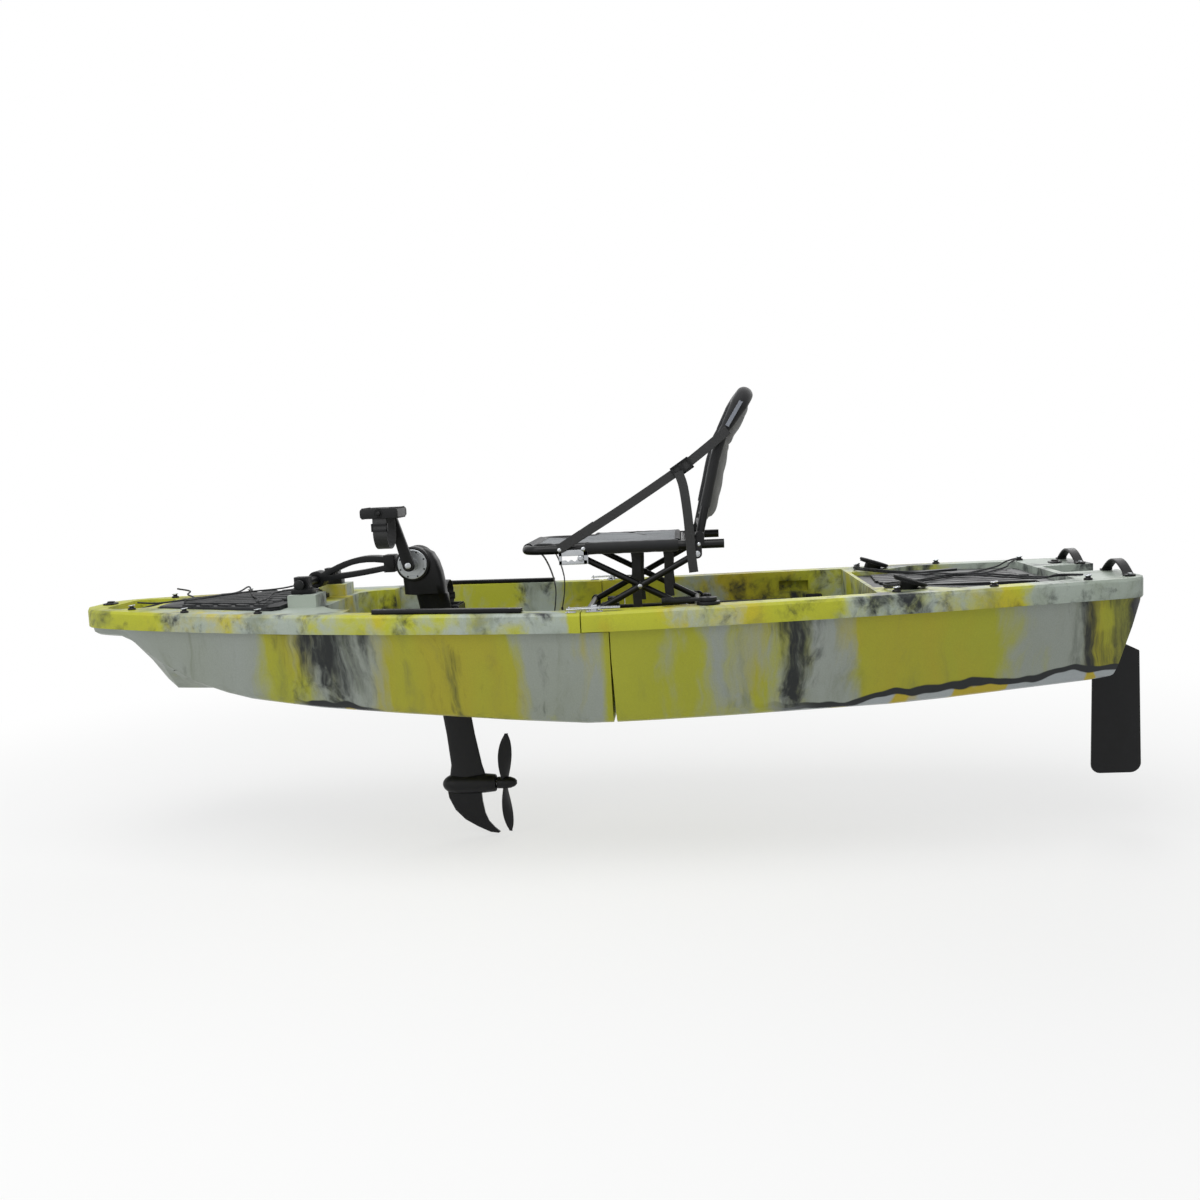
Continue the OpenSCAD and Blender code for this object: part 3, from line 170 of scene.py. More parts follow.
def to_piece(name, bm, finishes, body, *stands_for, slot=None, smooth=38):
    """A finished bmesh as a piece on its body, with its finishes and the nodes it stands for."""
    mesh = bpy.data.meshes.new(name)
    bm.to_mesh(mesh)
    bm.free()
    made = put(name, mesh)
    finishes = finishes if isinstance(finishes, list) else [finishes]
    for finish in finishes:
        mesh.materials.append(finish)
    mesh.shade_smooth()
    mesh.set_sharp_from_angle(angle=math.radians(smooth))
    if body:
        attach(made, body)
    if stands_for:
        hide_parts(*stands_for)
    return made


def smooth_route(points, steps=6):
    """A smooth line through the points, by Catmull and Rom's rule."""
    p = [Vector(q) for q in points]
    p = [p[0] * 2 - p[1]] + p + [p[-1] * 2 - p[-2]]
    line = []
    for a, b, c, d in zip(p, p[1:], p[2:], p[3:]):
        for k in range(steps):
            t = k / steps
            line.append(0.5 * (2 * b + (c - a) * t + (2 * a - 5 * b + 4 * c - d) * t * t
                               + (3 * b - a - 3 * c + d) * t ** 3))
    return line + [p[-2]]


def cord_curve(name, line, radius, finish, body, *stands_for):
    """A cord as one open spline with a round section."""
    curve = bpy.data.curves.new(name, "CURVE")
    curve.dimensions = "3D"
    spline = curve.splines.new("POLY")
    spline.points.add(len(line) - 1)
    for point, place in zip(spline.points, line):
        point.co = (*place, 1)
    curve.bevel_depth, curve.bevel_resolution, curve.use_fill_caps = radius, 3, True
    curve.materials.append(finish)
    made = put(name, curve)
    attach(made, body)
    if stands_for:
        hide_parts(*stands_for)
    return made


braid, tree, base, place = new_finish("braided polyester sheath", 0.72)
twist = add(tree, "ShaderNodeTexWave", {"Vector": place, "Scale": 1 / 0.006, "Distortion": 2.0},
            bands_direction="DIAGONAL").outputs["Fac"]
cross = add(tree, "ShaderNodeTexNoise", {"Vector": place, "Scale": 300.0})
coat = add(tree, "ShaderNodeMix", {0: twist, 6: paint("#0E0F11"), 7: paint("#25272A")}, data_type="RGBA")
tree.links.new(coat.outputs[2], base.inputs["Base Color"])
height = add(tree, "ShaderNodeMath", {0: twist, 1: cross}, operation="ADD")
bump = add(tree, "ShaderNodeBump", {"Height": height, "Strength": 0.5, "Distance": 0.0008})
tree.links.new(bump.outputs[0], base.inputs["Normal"])

bow_cord_z = 0.33313
bow_cord = [
    (-1285, -138, 6), (-1230, -110, 0), (-1165, 0, 0), (-1095, 110, 0), (-1100, 238, 6), (-1060, 150, 0),
    (-1000, 0, 0), (-930, -150, 0), (-880, -296, 6), (-902, -150, 0), (-935, 0, 0), (-902, 150, 0),
    (-905, 290, 6), (-960, 150, 0), (-1030, 0, 0), (-1090, -110, 0), (-1100, -238, 6), (-1130, -110, 0),
    (-1195, 0, 0), (-1235, 110, 0), (-1285, 138, 6)]
bow_route = smooth_route([(x / 1000, y / 1000, bow_cord_z + (z + 5.5 * (i // 7)) / 1000)
                          for i, (x, y, z) in enumerate(bow_cord)])
bow_lacing = cord_curve("bow_lacing", bow_route, 0.0025, braid, "lid", "bow_bungee")
stern_cord_z = 0.3135
stern_cord = [
    (806, -335, 9), (784, -285, 5), (796, -232, 5), (880, -140, 0), (1020, 0, 0), (1180, 200, 0),
    (1230, 250, 12), (1276, 300, 15), (1236, 235, 8), (1200, 170, 0), (1050, 0, 0), (890, 140, 0),
    (796, 232, 5), (784, 285, 5), (806, 335, 9)]
for side, lift, name in ((1, 0, "stern_lacing_a"), (-1, 5.6, "stern_lacing_b")):
    route = smooth_route([(x / 1000, side * y / 1000, stern_cord_z + (z + lift) / 1000)
                          for x, y, z in stern_cord])
    lacing = cord_curve(name, route, 0.0025, braid, "cover", "stern_bungee")

# ---- Hull modules ----
# Two rotomoulded polyethylene shells in a blend of lime yellow, grey-green and navy powders, which run into
# streaks down the sides and patches on deck. The skin is satin with a fine orange peel. The sides carry the
# same powders in darker colours than the deck: painted shade for the sides, which face away from the top
# light.


def softened(node, name, finishes, body, width, segments=2, smooth=38, bend=32, sort=None):
    """A CAD node's shape with its edges rounded by width, as a piece that stands for the node."""
    bm = bmesh.new()
    bm.from_mesh(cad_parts[node].data)
    bmesh.ops.remove_doubles(bm, verts=bm.verts, dist=0.00002)
    bmesh.ops.dissolve_degenerate(bm, dist=0.00001, edges=bm.edges)
    bmesh.ops.dissolve_limit(bm, angle_limit=math.radians(0.6), verts=bm.verts, edges=bm.edges)
    sharp = [e for e in bm.edges if len(e.link_faces) == 2
             and e.calc_face_angle(0) > math.radians(bend) and e.calc_length() > 0.0006]
    if width:
        bmesh.ops.bevel(bm, geom=sharp, affect="EDGES", offset=width, offset_type="OFFSET",
                        segments=segments, profile=0.5, material=-1, clamp_overlap=True)
    bmesh.ops.triangulate(bm, faces=[f for f in bm.faces if len(f.verts) > 4])
    if sort:
        for f in bm.faces:
            f.material_index = sort(f)
    return to_piece(name, bm, finishes, body, node, smooth=smooth)


beam_shape = [
    (-1.000, 0.15), (-0.9925, 0.215), (-0.978, 0.29), (-0.958, 0.347), (-0.911, 0.424), (-0.842, 0.519),
    (-0.726, 0.649), (-0.610, 0.755), (-0.494, 0.841), (-0.340, 0.9205), (-0.147, 0.980), (0, 1),
    (0.126, 0.9935), (0.245, 0.980), (0.442, 0.9426), (0.639, 0.8896), (0.836, 0.8057), (0.955, 0.744),
    (0.975, 0.726), (0.990, 0.69), (1, 0.62)]
half_beam_full, bow_length, stern_length, lip_height = 0.453, 1.465, 1.434, 0.050
sheer_mid, sheer_rise = 0.300, 0.024


def half_beam(x):
    """Half the width over the gunwale at a station."""
    u = x / bow_length if x < 0 else x / stern_length
    u = max(-1.0, min(1.0, u))
    for (a, wide_a), (b, wide_b) in zip(beam_shape, beam_shape[1:]):
        if u <= b:
            return half_beam_full * (wide_a + (wide_b - wide_a) * (u - a) / (b - a))
    return half_beam_full * beam_shape[-1][1]


def sheer(x):
    """Height of the gunwale at a station."""
    return sheer_mid + sheer_rise * abs(x / bow_length if x < 0 else x / stern_length)


def on_hull_side(face):
    """1 for a face of the outer side or bottom, which takes the side finish painted darker as shade; 0 for
    deck, gunwale lip and wells.
    """
    c, n = face.calc_center_median(), face.normal
    under_lip = c.z < sheer(c.x) - lip_height + 0.0015
    outward = abs(c.y) > 0.8 * half_beam(c.x) and n.y * c.y > 0.02
    return int(under_lip and (outward or n.z < -0.1 or c.x < -1.2 or (abs(n.x) > 0.5 and c.x > 1.3)))


def camouflage(name, coats, dark_places, pale_places, fall, dark_level, pale_level, keel_line):
    """The blended polyethylene: where its powders run dark or pale along the hull, and how far down."""
    lime, gold, sage, grey, navy, olive, soot = [paint(code) for code in coats + ("#59623F", "#3C4230")]
    made, tree, base, place = new_finish(name, 0.5)
    base.inputs["Specular IOR Level"].default_value = 0.32
    split = add(tree, "ShaderNodeSeparateXYZ", {0: place})
    station = split.outputs["X"]
    along = add(tree, "ShaderNodeMapRange", {"Value": station, "From Min": -1.47, "From Max": 1.44})
    warp = add(tree, "ShaderNodeTexNoise", {"Vector": place, "Scale": 5.0, "Detail": 3.0})
    moved = add(tree, "ShaderNodeVectorMath", {0: warp.outputs["Color"], 1: (0.09, 0.09, 0.06), 2: place},
                operation="MULTIPLY_ADD")
    runs = add(tree, "ShaderNodeMapping", {"Vector": moved, "Scale": (1, 1, fall)})

    def patches(scale, detail, rough, offset):
        """Blotches of powder, stretched downwards on the sides."""
        shifted = add(tree, "ShaderNodeMapping", {"Vector": runs, "Location": offset})
        return add(tree, "ShaderNodeTexNoise", {"Vector": shifted, "Scale": scale, "Detail": detail,
                                                "Roughness": rough, "Distortion": 0.35})

    def powder(stops, weight, blotches, fringe, fringe_weight, level, blur):
        """Where one powder lies: its places along the hull, broken up by blotches and a finer fringe."""
        ramp = add(tree, "ShaderNodeValToRGB", {"Fac": along})
        ramp.color_ramp.interpolation = "EASE"
        marks = ramp.color_ramp.elements
        marks[0].position, marks[1].position = stops[0][0], stops[-1][0]
        marks[0].color = (stops[0][1],) * 3 + (1,)
        marks[1].color = (stops[-1][1],) * 3 + (1,)
        for spot, shade in stops[1:-1]:
            marks.new(spot).color = (shade,) * 3 + (1,)
        total = patches(*blotches)
        for part, amount in ((ramp, weight), (patches(*fringe), fringe_weight)):
            total = add(tree, "ShaderNodeMath", {0: part, 1: amount, 2: total}, operation="MULTIPLY_ADD")
        low = level + fringe_weight / 2
        return add(tree, "ShaderNodeMapRange", {"Value": total, "From Min": low, "From Max": low + blur},
                   interpolation_type="SMOOTHSTEP")

    pale = powder(pale_places, 0.42, (3.4, 6.0, 0.58, (3.1, 0, 0)), (15.0, 6.0, 0.60, (4.0, 4.0, 1.0)),
                  0.42, pale_level, 0.20)
    dark = powder(dark_places, 0.25, (5.5, 5.0, 0.58, (0, 7.7, 1.3)), (21.0, 7.0, 0.66, (2.0, 3.0, 8.0)),
                  0.62, dark_level, 0.22)
    speckle = add(tree, "ShaderNodeTexNoise", {"Vector": place, "Scale": 420.0, "Detail": 2.0,
                                               "Roughness": 0.7})
    wave = add(tree, "ShaderNodeTexNoise", {"Vector": place, "Scale": 6.5, "Detail": 2.0})
    warm, mist, drip, grain, rise, bow_rise, aft, fore_start, fore_end = [
        add(tree, "ShaderNodeMapRange", {"Value": value, "From Min": low, "From Max": high, "To Max": most},
            interpolation_type="SMOOTHSTEP") for value, low, high, most in (
            (patches(4.5, 3.0, 0.5, (9.0, 2.0, 0)), 0.46, 0.68, 1.0),
            (patches(9.0, 8.0, 0.66, (6.0, 6.0, 2.0)), 0.50, 0.72, 0.50),
            (patches(9.0, 2.0, 0.5, (1.0, 4.0, 4.0)), 0.55, 0.60, 1.0), (speckle, 0.25, 0.75, 0.16),
            (station, 0.35, 1.45, 0.062), (station, -0.45, -0.80, 0.046), (station, 0.42, 0.60, 1.0),
            (station, -0.80, -0.74, 1.0), (station, -0.62, -0.48, 1.0))]
    cool, under = [add(tree, "ShaderNodeMix", {0: share, 6: a, 7: b}, data_type="RGBA").outputs[2]
                   for share, a, b in ((patches(7.0, 4.0, 0.5, (5.0, 1.0, 2.0)), sage, grey),
                                       (drip, paint("#A6ACAE"), paint("#B9A52B")))]
    layers = [(warm, gold), (pale, cool), (mist, olive), (dark, navy)]
    if keel_line:
        # the wavy navy line above the keel, aft and at the bow, with bare grey and yellow under it
        line = add(tree, "ShaderNodeMath", {0: wave, 1: 0.085, 2: 0.030 - 0.085 / 2},
                   operation="MULTIPLY_ADD")
        line = add(tree, "ShaderNodeMath", {0: line, 1: rise}, operation="ADD")
        line = add(tree, "ShaderNodeMath", {0: line, 1: bow_rise}, operation="ADD")
        over = add(tree, "ShaderNodeMath", {0: split.outputs["Z"], 1: line}, operation="SUBTRACT")
        away = add(tree, "ShaderNodeMath", {0: over}, operation="ABSOLUTE")
        fore = add(tree, "ShaderNodeMath", {0: fore_start, 1: fore_end}, operation="SUBTRACT")
        zone = add(tree, "ShaderNodeMath", {0: aft, 1: fore}, operation="MAXIMUM")
        for value, low, high, colour in ((over, 0.002, -0.002, under),
                                         (away, 0.011, 0.007, paint("#14181D"))):
            near = add(tree, "ShaderNodeMapRange", {"Value": value, "From Min": low, "From Max": high},
                       interpolation_type="SMOOTHSTEP")
            layers.append((add(tree, "ShaderNodeMath", {0: near, 1: zone}, operation="MULTIPLY"), colour))
    coat = lime
    for share, colour in layers + [(grain, soot)]:
        coat = add(tree, "ShaderNodeMix", {0: share, 6: coat, 7: colour}, data_type="RGBA").outputs[2]
    tree.links.new(coat, base.inputs["Base Color"])
    scuff = add(tree, "ShaderNodeTexNoise", {"Vector": place, "Scale": 14.0, "Detail": 6.0})
    wear = add(tree, "ShaderNodeMapRange", {"Value": scuff, "To Min": 0.36, "To Max": 0.58})
    tree.links.new(wear.outputs[0], base.inputs["Roughness"])
    peel = add(tree, "ShaderNodeTexNoise", {"Vector": place, "Scale": 160.0, "Detail": 3.0})
    bump = add(tree, "ShaderNodeBump", {"Height": peel, "Strength": 0.35, "Distance": 0.0009})
    tree.links.new(bump.outputs[0], base.inputs["Normal"])
    return made


side_dark = [(0, 0.25), (0.20, 0.1), (0.245, 0.75), (0.275, 0.95), (0.315, 0.8), (0.335, 0.0), (0.375, 0.1),
             (0.39, 0.42), (0.41, 0), (0.52, 0), (0.66, 0.05), (0.68, 0.95), (0.712, 0.75), (0.722, 0.1),
             (0.735, 0.75), (0.75, 0.1), (0.81, 0.30), (0.86, 0.0), (0.925, 0.1), (0.945, 0.95), (1, 0.7)]
side_pale = [(0, 1), (0.18, 0.95), (0.23, 0.6), (0.30, 0.45), (0.33, 0.0), (0.42, 0.0), (0.47, 0.75),
             (0.515, 0.7), (0.53, 0.2), (0.60, 0.35), (0.69, 0.4), (0.718, 0.9), (0.74, 0.5), (0.755, 0.0),
             (0.846, 0.05), (0.872, 0.95), (0.93, 0.9), (0.955, 0.2), (1, 0.2)]
deck_dark = [(0, 0.2), (0.09, 0.45), (0.16, 0.25), (0.22, 0.5), (0.30, 0.55), (0.36, 0.35), (0.42, 0.5),
             (0.48, 0.3), (0.50, 0.0), (0.56, 0.25), (0.62, 0.35), (0.68, 0.25), (0.76, 0.5), (0.84, 0.35),
             (0.92, 0.4), (1, 0.5)]
deck_pale = [(0, 0.0), (0.06, 0.1), (0.14, 0.6), (0.22, 0.7), (0.30, 0.5), (0.36, 0.2), (0.46, 0.65),
             (0.492, 0.5), (0.50, 0.0), (0.53, 0.1), (0.60, 0.5), (0.68, 0.1), (0.76, 0.4), (0.86, 0.5),
             (0.93, 1.0), (1, 1.0)]
# painted shade: the side colours below are the deck's made darker, for the sides that get less light than
# the deck; the side streaks are the moulding's own pattern
shaded_side_coat = camouflage("rotomoulded polyethylene, sides, painted darker as shade",
                       ("#A3A52B", "#A89F27", "#8E9585", "#9CA29F", "#14181B"), side_dark, side_pale, 0.11,
                       0.63, 0.60, True)
deck_coat = camouflage("rotomoulded polyethylene, deck",
                       ("#B6B92F", "#C2B32A", "#9CA794", "#B0B9B4", "#171C22"), deck_dark, deck_pale, 0.8,
                       0.60, 0.62, False)
for node, name in (("bow_hull", "bow_module"), ("stern_hull", "stern_module")):
    softened(node, name, [deck_coat, shaded_side_coat], "hull", 0.005, segments=3, sort=on_hull_side)

# ---- Floor of the cockpit: ribs and pads moulded into the deck ----
# Low rounded ribs and pads, 7 mm high, stiffen the thin floor under and behind the seat. They are
# part of the shell and carry its colours.


def slab(bm, outline, low, high, bevel=0.0, segments=2, taper=0.0):
    """A plate of this outline between two heights, its top edges rounded, added to the bmesh."""
    verts = [bm.verts.new((x, y, low)) for x, y in outline]
    face = bm.faces.new(verts)
    out = bmesh.ops.extrude_face_region(bm, geom=[face])
    top = [v for v in out["geom"] if isinstance(v, bmesh.types.BMVert)]
    bmesh.ops.translate(bm, verts=top, vec=(0, 0, high - low))
    if taper:
        centre = sum((v.co for v in top), Vector()) / len(top)
        for v in top:
            d = v.co - centre
            v.co -= Vector((math.copysign(min(taper, abs(d.x)), d.x),
                            math.copysign(min(taper, abs(d.y)), d.y), 0))
    fresh = {f for v in verts + top for f in v.link_faces}
    bmesh.ops.recalc_face_normals(bm, faces=list(fresh))
    if bevel:
        edges = [e for e in {e for v in top for e in v.link_edges} if e.is_manifold]
        bmesh.ops.bevel(bm, geom=edges, affect="EDGES", offset=bevel, offset_type="OFFSET",
                        segments=segments, profile=0.5, material=-1, clamp_overlap=True)


def arc(cx, cy, r, start, turn, steps):
    """Points on an arc; the angles are in degrees."""
    angles = [math.radians(start + turn * k / steps) for k in range(steps + 1)]
    return [(cx + r * math.cos(a), cy + r * math.sin(a)) for a in angles]


def rounded(x0, x1, y0, y1, r, steps=5):
    """A rectangle with round corners as an outline."""
    corners = ((x1 - r, y1 - r), (x0 + r, y1 - r), (x0 + r, y0 + r), (x1 - r, y0 + r))
    return [p for i, (cx, cy) in enumerate(corners) for p in arc(cx, cy, r, 90 * i, 90, steps)]


def oblong(x, y, half_x, half_y, r, steps=5):
    """A rounded rectangle about its middle."""
    return rounded(x - half_x, x + half_x, y - half_y, y + half_y, r, steps)


def turned(x, y, lean, outline):
    """An outline turned by lean and moved to this point."""
    c, s = math.cos(lean), math.sin(lean)
    return [(x + a * c - b * s, y + a * s + b * c) for a, b in outline]


seat_floor_z = 0.222
bm = bmesh.new()
for x0, x1, y0, y1, r in ((0.03, 0.70, -0.006, 0.006, 0.005), (0.70, 0.745, -0.30, 0.30, 0.012),
                          (0.40, 0.69, 0.120, 0.134, 0.006), (0.40, 0.69, -0.134, -0.120, 0.006),
                          (0.395, 0.409, -0.134, 0.134, 0.006),
                          (0.44, 0.54, 0.045, 0.095, 0.02), (0.44, 0.54, -0.095, -0.045, 0.02),
                          (0.57, 0.67, 0.045, 0.095, 0.02), (0.57, 0.67, -0.095, -0.045, 0.02)):
    slab(bm, rounded(x0, x1, y0, y1, r), seat_floor_z - 0.003, seat_floor_z + 0.007, 0.003, taper=0.0015)
to_piece("floor_ribs", bm, deck_coat, "hull")

# ---- Bow hatch lid ----
# A fan-shaped lid of black moulded ABS with a fine spark texture, ribbed fore and aft, on two hinge
# brackets at its aft edge. It sits on a foam rubber gasket.


def moulded(name, colour, pale, roughness, grain_mm, depth_mm, coarse=18.0, metallic=0.0):
    """A moulded or coated finish: its colour drifts, it is rubbed paler, and its skin has grain."""
    made, tree, base, place = new_finish(name, roughness)
    drift = add(tree, "ShaderNodeTexNoise", {"Vector": place, "Scale": coarse, "Detail": 5.0,
                                             "Roughness": 0.6})
    soft = add(tree, "ShaderNodeMapRange", {"Value": drift, "From Min": 0.35, "From Max": 0.75,
                                            "To Max": 0.55})
    coat = add(tree, "ShaderNodeMix", {0: soft, 6: paint(colour), 7: paint(pale)}, data_type="RGBA")
    tree.links.new(coat.outputs[2], base.inputs["Base Color"])
    base.inputs["Metallic"].default_value = metallic
    if metallic == 0:
        base.inputs["Specular IOR Level"].default_value = 0.24
    wear = add(tree, "ShaderNodeMapRange", {"Value": drift, "To Min": roughness - 0.08,
                                            "To Max": roughness + 0.10})
    tree.links.new(wear.outputs[0], base.inputs["Roughness"])
    grain = add(tree, "ShaderNodeTexNoise", {"Vector": place, "Scale": 1000 / grain_mm, "Detail": 2.0,
                                             "Roughness": 0.6})
    bump = add(tree, "ShaderNodeBump", {"Height": grain, "Strength": 0.5, "Distance": depth_mm / 1000})
    tree.links.new(bump.outputs[0], base.inputs["Normal"])
    return made


abs_black = moulded("spark-textured black ABS", "#121416", "#202326", 0.46, 2.2, 0.5)
nylon = moulded("glass-filled black nylon", "#0C0D0E", "#1A1B1D", 0.40, 1.6, 0.25)
rubber = moulded("black rubber", "#0C0D0D", "#161717", 0.70, 1.4, 0.25)
powder_coat = moulded("powder-coated aluminium tube", "#0C0D0E", "#18191B", 0.30, 1.2, 0.18)
anodised = moulded("black anodised aluminium", "#0E0F11", "#1C1E20", 0.30, 0.9, 0.10,
                   metallic=0.6)
stainless = moulded("brushed stainless steel", "#A8ABAE", "#C4C7C9", 0.26, 0.8, 0.08,
                    metallic=1.0)
cast_silver = moulded("bead-blasted aluminium", "#9FA3A5", "#B7BABC", 0.38, 1.2, 0.12,
                      metallic=0.85)

lid_front_x, lid_aft_x, lid_front_y, lid_aft_y = -1.242, -0.838, 0.130, 0.262
lid_low, lid_top = 0.30233, 0.32433
lid_edge = [(lid_front_x + 0.001, 0.099), (lid_front_x + 0.013, lid_front_y - 0.002),
            (lid_aft_x - 0.022, lid_aft_y - 0.002), (lid_aft_x - 0.002, lid_aft_y - 0.024)]
bm = bmesh.new()
slab(bm, lid_edge + [(x, -y) for x, y in reversed(lid_edge)], lid_low, lid_top, 0.006, 3)
for i in range(-3, 4):
    length, half, wide = 0.335 - 0.012 * abs(i), 0.009, 0.020
    rib = turned(lid_front_x + 0.035 + 0.012 * abs(i), i * 0.027, math.radians(i * 6.2),
                 [(length, wide), (length, -wide), (0, -half), (0, half)])
    slab(bm, rib, lid_top - 0.001, lid_top + 0.0062, 0.004, 3, taper=0.003)
short_run, short_lean = math.hypot(0.045, 0.030) / 2, math.atan2(0.030, 0.045)
for side in (-1, 1):
    for k in range(5):
        rib = turned(-1.13 + 0.058 * k, side * (0.148 + 0.0185 * k), side * short_lean,
                     [(-short_run, 0.0075), (-short_run, -0.0075), (short_run, -0.0075),
                      (short_run, 0.0075)])
        slab(bm, rib, lid_top - 0.001, lid_top + 0.0055, 0.003, 2, taper=0.003)
to_piece("hatch_lid", bm, abs_black, "lid")
hinges = softened("bow_lid", "lid_hinges", nylon, "lid", 0.0012)
bm = bmesh.new()
bm.from_mesh(hinges.data)
bmesh.ops.bisect_plane(bm, geom=bm.verts[:] + bm.edges[:] + bm.faces[:], plane_co=(-0.872, 0, 0),
                       plane_no=(-1, 0, 0), clear_outer=True)
bmesh.ops.bisect_plane(bm, geom=bm.verts[:] + bm.edges[:] + bm.faces[:], plane_co=(0, 0, lid_top - 0.002),
                       plane_no=(0, 0, -1), clear_outer=True)
bmesh.ops.holes_fill(bm, edges=[e for e in bm.edges if e.is_boundary], sides=0)
bm.to_mesh(hinges.data)
bm.free()
softened("lid_brackets", "hinge_brackets", nylon, "hull", 0.0015)
softened("hatch_gasket", "foam_gasket", rubber, "hull", 0.001)

# ---- Bow fittings: carry grip and pad eyes ----
# The grip is a soft moulded handle on a cord between two feet; the pad eyes are nylon buttons
# with a wire ring, each screwed through the deck.


def lathe(bm, profile, axis_at, axis, steps=40):
    """A closed turned shape: (radius, distance along the axis) pairs spun once round the axis."""
    axis = Vector(axis).normalized()
    out = axis.orthogonal().normalized()
    start = Vector(axis_at)
    verts = [bm.verts.new(start + out * r + axis * h) for r, h in profile]
    edges = [bm.edges.new(pair) for pair in zip(verts, verts[1:])]
    before = set(bm.faces)
    bmesh.ops.spin(bm, geom=verts + edges, cent=start, axis=axis, angle=math.tau, steps=steps,
                   use_merge=True)
    fresh = [f for f in bm.faces if f not in before]
    bmesh.ops.remove_doubles(bm, verts=list({v for f in fresh for v in f.verts}), dist=0.00002)
    fresh = [f for f in bm.faces if f not in before]
    bmesh.ops.recalc_face_normals(bm, faces=fresh)


def skin(bm, rings):
    """Faces between rings of points, closed at both ends."""
    fresh = [bm.faces.new((near[k], near[k + 1], far[k + 1], far[k]))
             for near, far in zip(rings, rings[1:]) for k in range(-1, len(near) - 1)]
    fresh += [bm.faces.new(rings[0][::-1]), bm.faces.new(rings[-1])]
    bmesh.ops.recalc_face_normals(bm, faces=fresh)


def sweep(bm, section, route, up=(0, 0, 1), scales=None):
    """A section carried along a route, closed at both ends; up keeps it from turning."""
    rings = []
    for i, point in enumerate(route):
        ahead = (route[min(i + 1, len(route) - 1)] - route[max(i - 1, 0)]).normalized()
        side = ahead.cross(Vector(up)).normalized()
        top = side.cross(ahead)
        size = scales[i] if scales else 1
        rings.append([bm.verts.new(point + (side * a + top * b) * size) for a, b in section])
    skin(bm, rings)


def round_section(r, sides=14):
    """The outline of a round cord or tube."""
    return arc(0, 0, r, 0, 360, sides)[:-1]


def band_section(width, thick):
    """A flat band with soft edges: width to the side, thickness upwards."""
    w, t, c = width / 2, thick / 2, min(thick, width) * 0.3
    return [(-w + c, -t), (w - c, -t), (w, -t + c), (w, t - c), (w - c, t), (-w + c, t), (-w, t - c),
            (-w, -t + c)]


grip_x, grip_z = -1.310, 0.3043
bm = bmesh.new()
rows = 46
profile = [(0.0, -0.082)]
for k in range(rows + 1):
    y = -0.082 + 0.164 * k / rows
    swell = 0.0125 - 0.0022 * (abs(y) / 0.082) ** 4
    groove = 0.0012 if abs(y) < 0.060 and k % 3 == 0 else 0
    profile.append((swell - groove, y))
profile.append((0.0, 0.082))
lathe(bm, profile, (grip_x, 0, grip_z), (0, 1, 0), 28)
to_piece("carry_grip", bm, rubber, "hull", "bow_grip", smooth=50, slot="black_plastic")
bm = bmesh.new()
for side in (-1, 1):
    slab(bm, oblong(grip_x, side * 0.089, 0.011, 0.007, 0.004), 0.2863, 0.3132, 0.003)
to_piece("grip_feet", bm, nylon, "hull")

eyes_stbd = [(-1.300, 0.152), (-1.100, 0.255), (-0.905, 0.306), (0.800, 0.348), (1.043, 0.348),
             (1.286, 0.312)]
eyes_port = [(-1.296, -0.152), (-1.100, -0.255), (-0.875, -0.312), (0.800, -0.348), (1.043, -0.348),
             (1.286, -0.312)]
bm = bmesh.new()
rings = bmesh.new()
for x, y in eyes_stbd + eyes_port:
    low = sheer(x) + 0.0003
    lathe(bm, [(0, 0), (0.011, 0), (0.011, 0.003), (0.0095, 0.005), (0.0066, 0.0056), (0.0062, 0.0095),
               (0.0048, 0.011), (0, 0.0114)], (x, y, low), (0, 0, 1), 24)
    circle = [Vector((x + a, y + b, low + 0.0113 + a / 8)) for a, b in arc(0, 0, 0.008, 0, 360, 28)]
    sweep(rings, round_section(0.0016, 8), circle)
to_piece("pad_eyes", bm, nylon, "hull", "deck_eyes")
to_piece("pad_eye_rings", rings, stainless, "hull")

# ---- Drive: pivot bar, loop arm, leg, drum, gearcase and propeller ----
# A pedal drive of glass-filled nylon castings with machined aluminium side discs. It hangs from a
# round bar and its leg drops through the slot; the shaft runs inside the leg to the gearcase.
softened("drive_clamps", "bar_clamps", nylon, "hull", 0.0015)
softened("pivot_bar", "pivot_tube", powder_coat, "drive", 0.001)
softened("drive_arm", "loop_arm", nylon, "drive", 0.0028, segments=3)
axle_x, axle_z, drum_radius, drum_half = -0.510, 0.410, 0.050, 0.045
bm = bmesh.new()
lathe(bm, [(0, -drum_half), (drum_radius - 0.004, -drum_half), (drum_radius, -drum_half + 0.004),
           (drum_radius, -0.006), (drum_radius - 0.0012, -0.004), (drum_radius - 0.0012, 0.004),
           (drum_radius, 0.006), (drum_radius, drum_half - 0.004), (drum_radius - 0.004, drum_half),
           (0, drum_half)],
      (axle_x, 0, axle_z), (0, 1, 0), 64)
leg_cuts = [
    (0.452, -0.512, -0.478, 0.020), (0.440, -0.530, -0.456, 0.030), (0.415, -0.545, -0.442, 0.035),
    (0.385, -0.548, -0.433, 0.036), (0.350, -0.546, -0.427, 0.035), (0.322, -0.545, -0.424, 0.034),
    (0.318, -0.512, -0.420, 0.026), (0.290, -0.508, -0.416, 0.022), (0.200, -0.492, -0.405, 0.019),
    (0.050, -0.470, -0.386, 0.017), (-0.100, -0.450, -0.366, 0.0155), (-0.190, -0.442, -0.350, 0.0145),
    (-0.226, -0.448, -0.340, 0.018)]


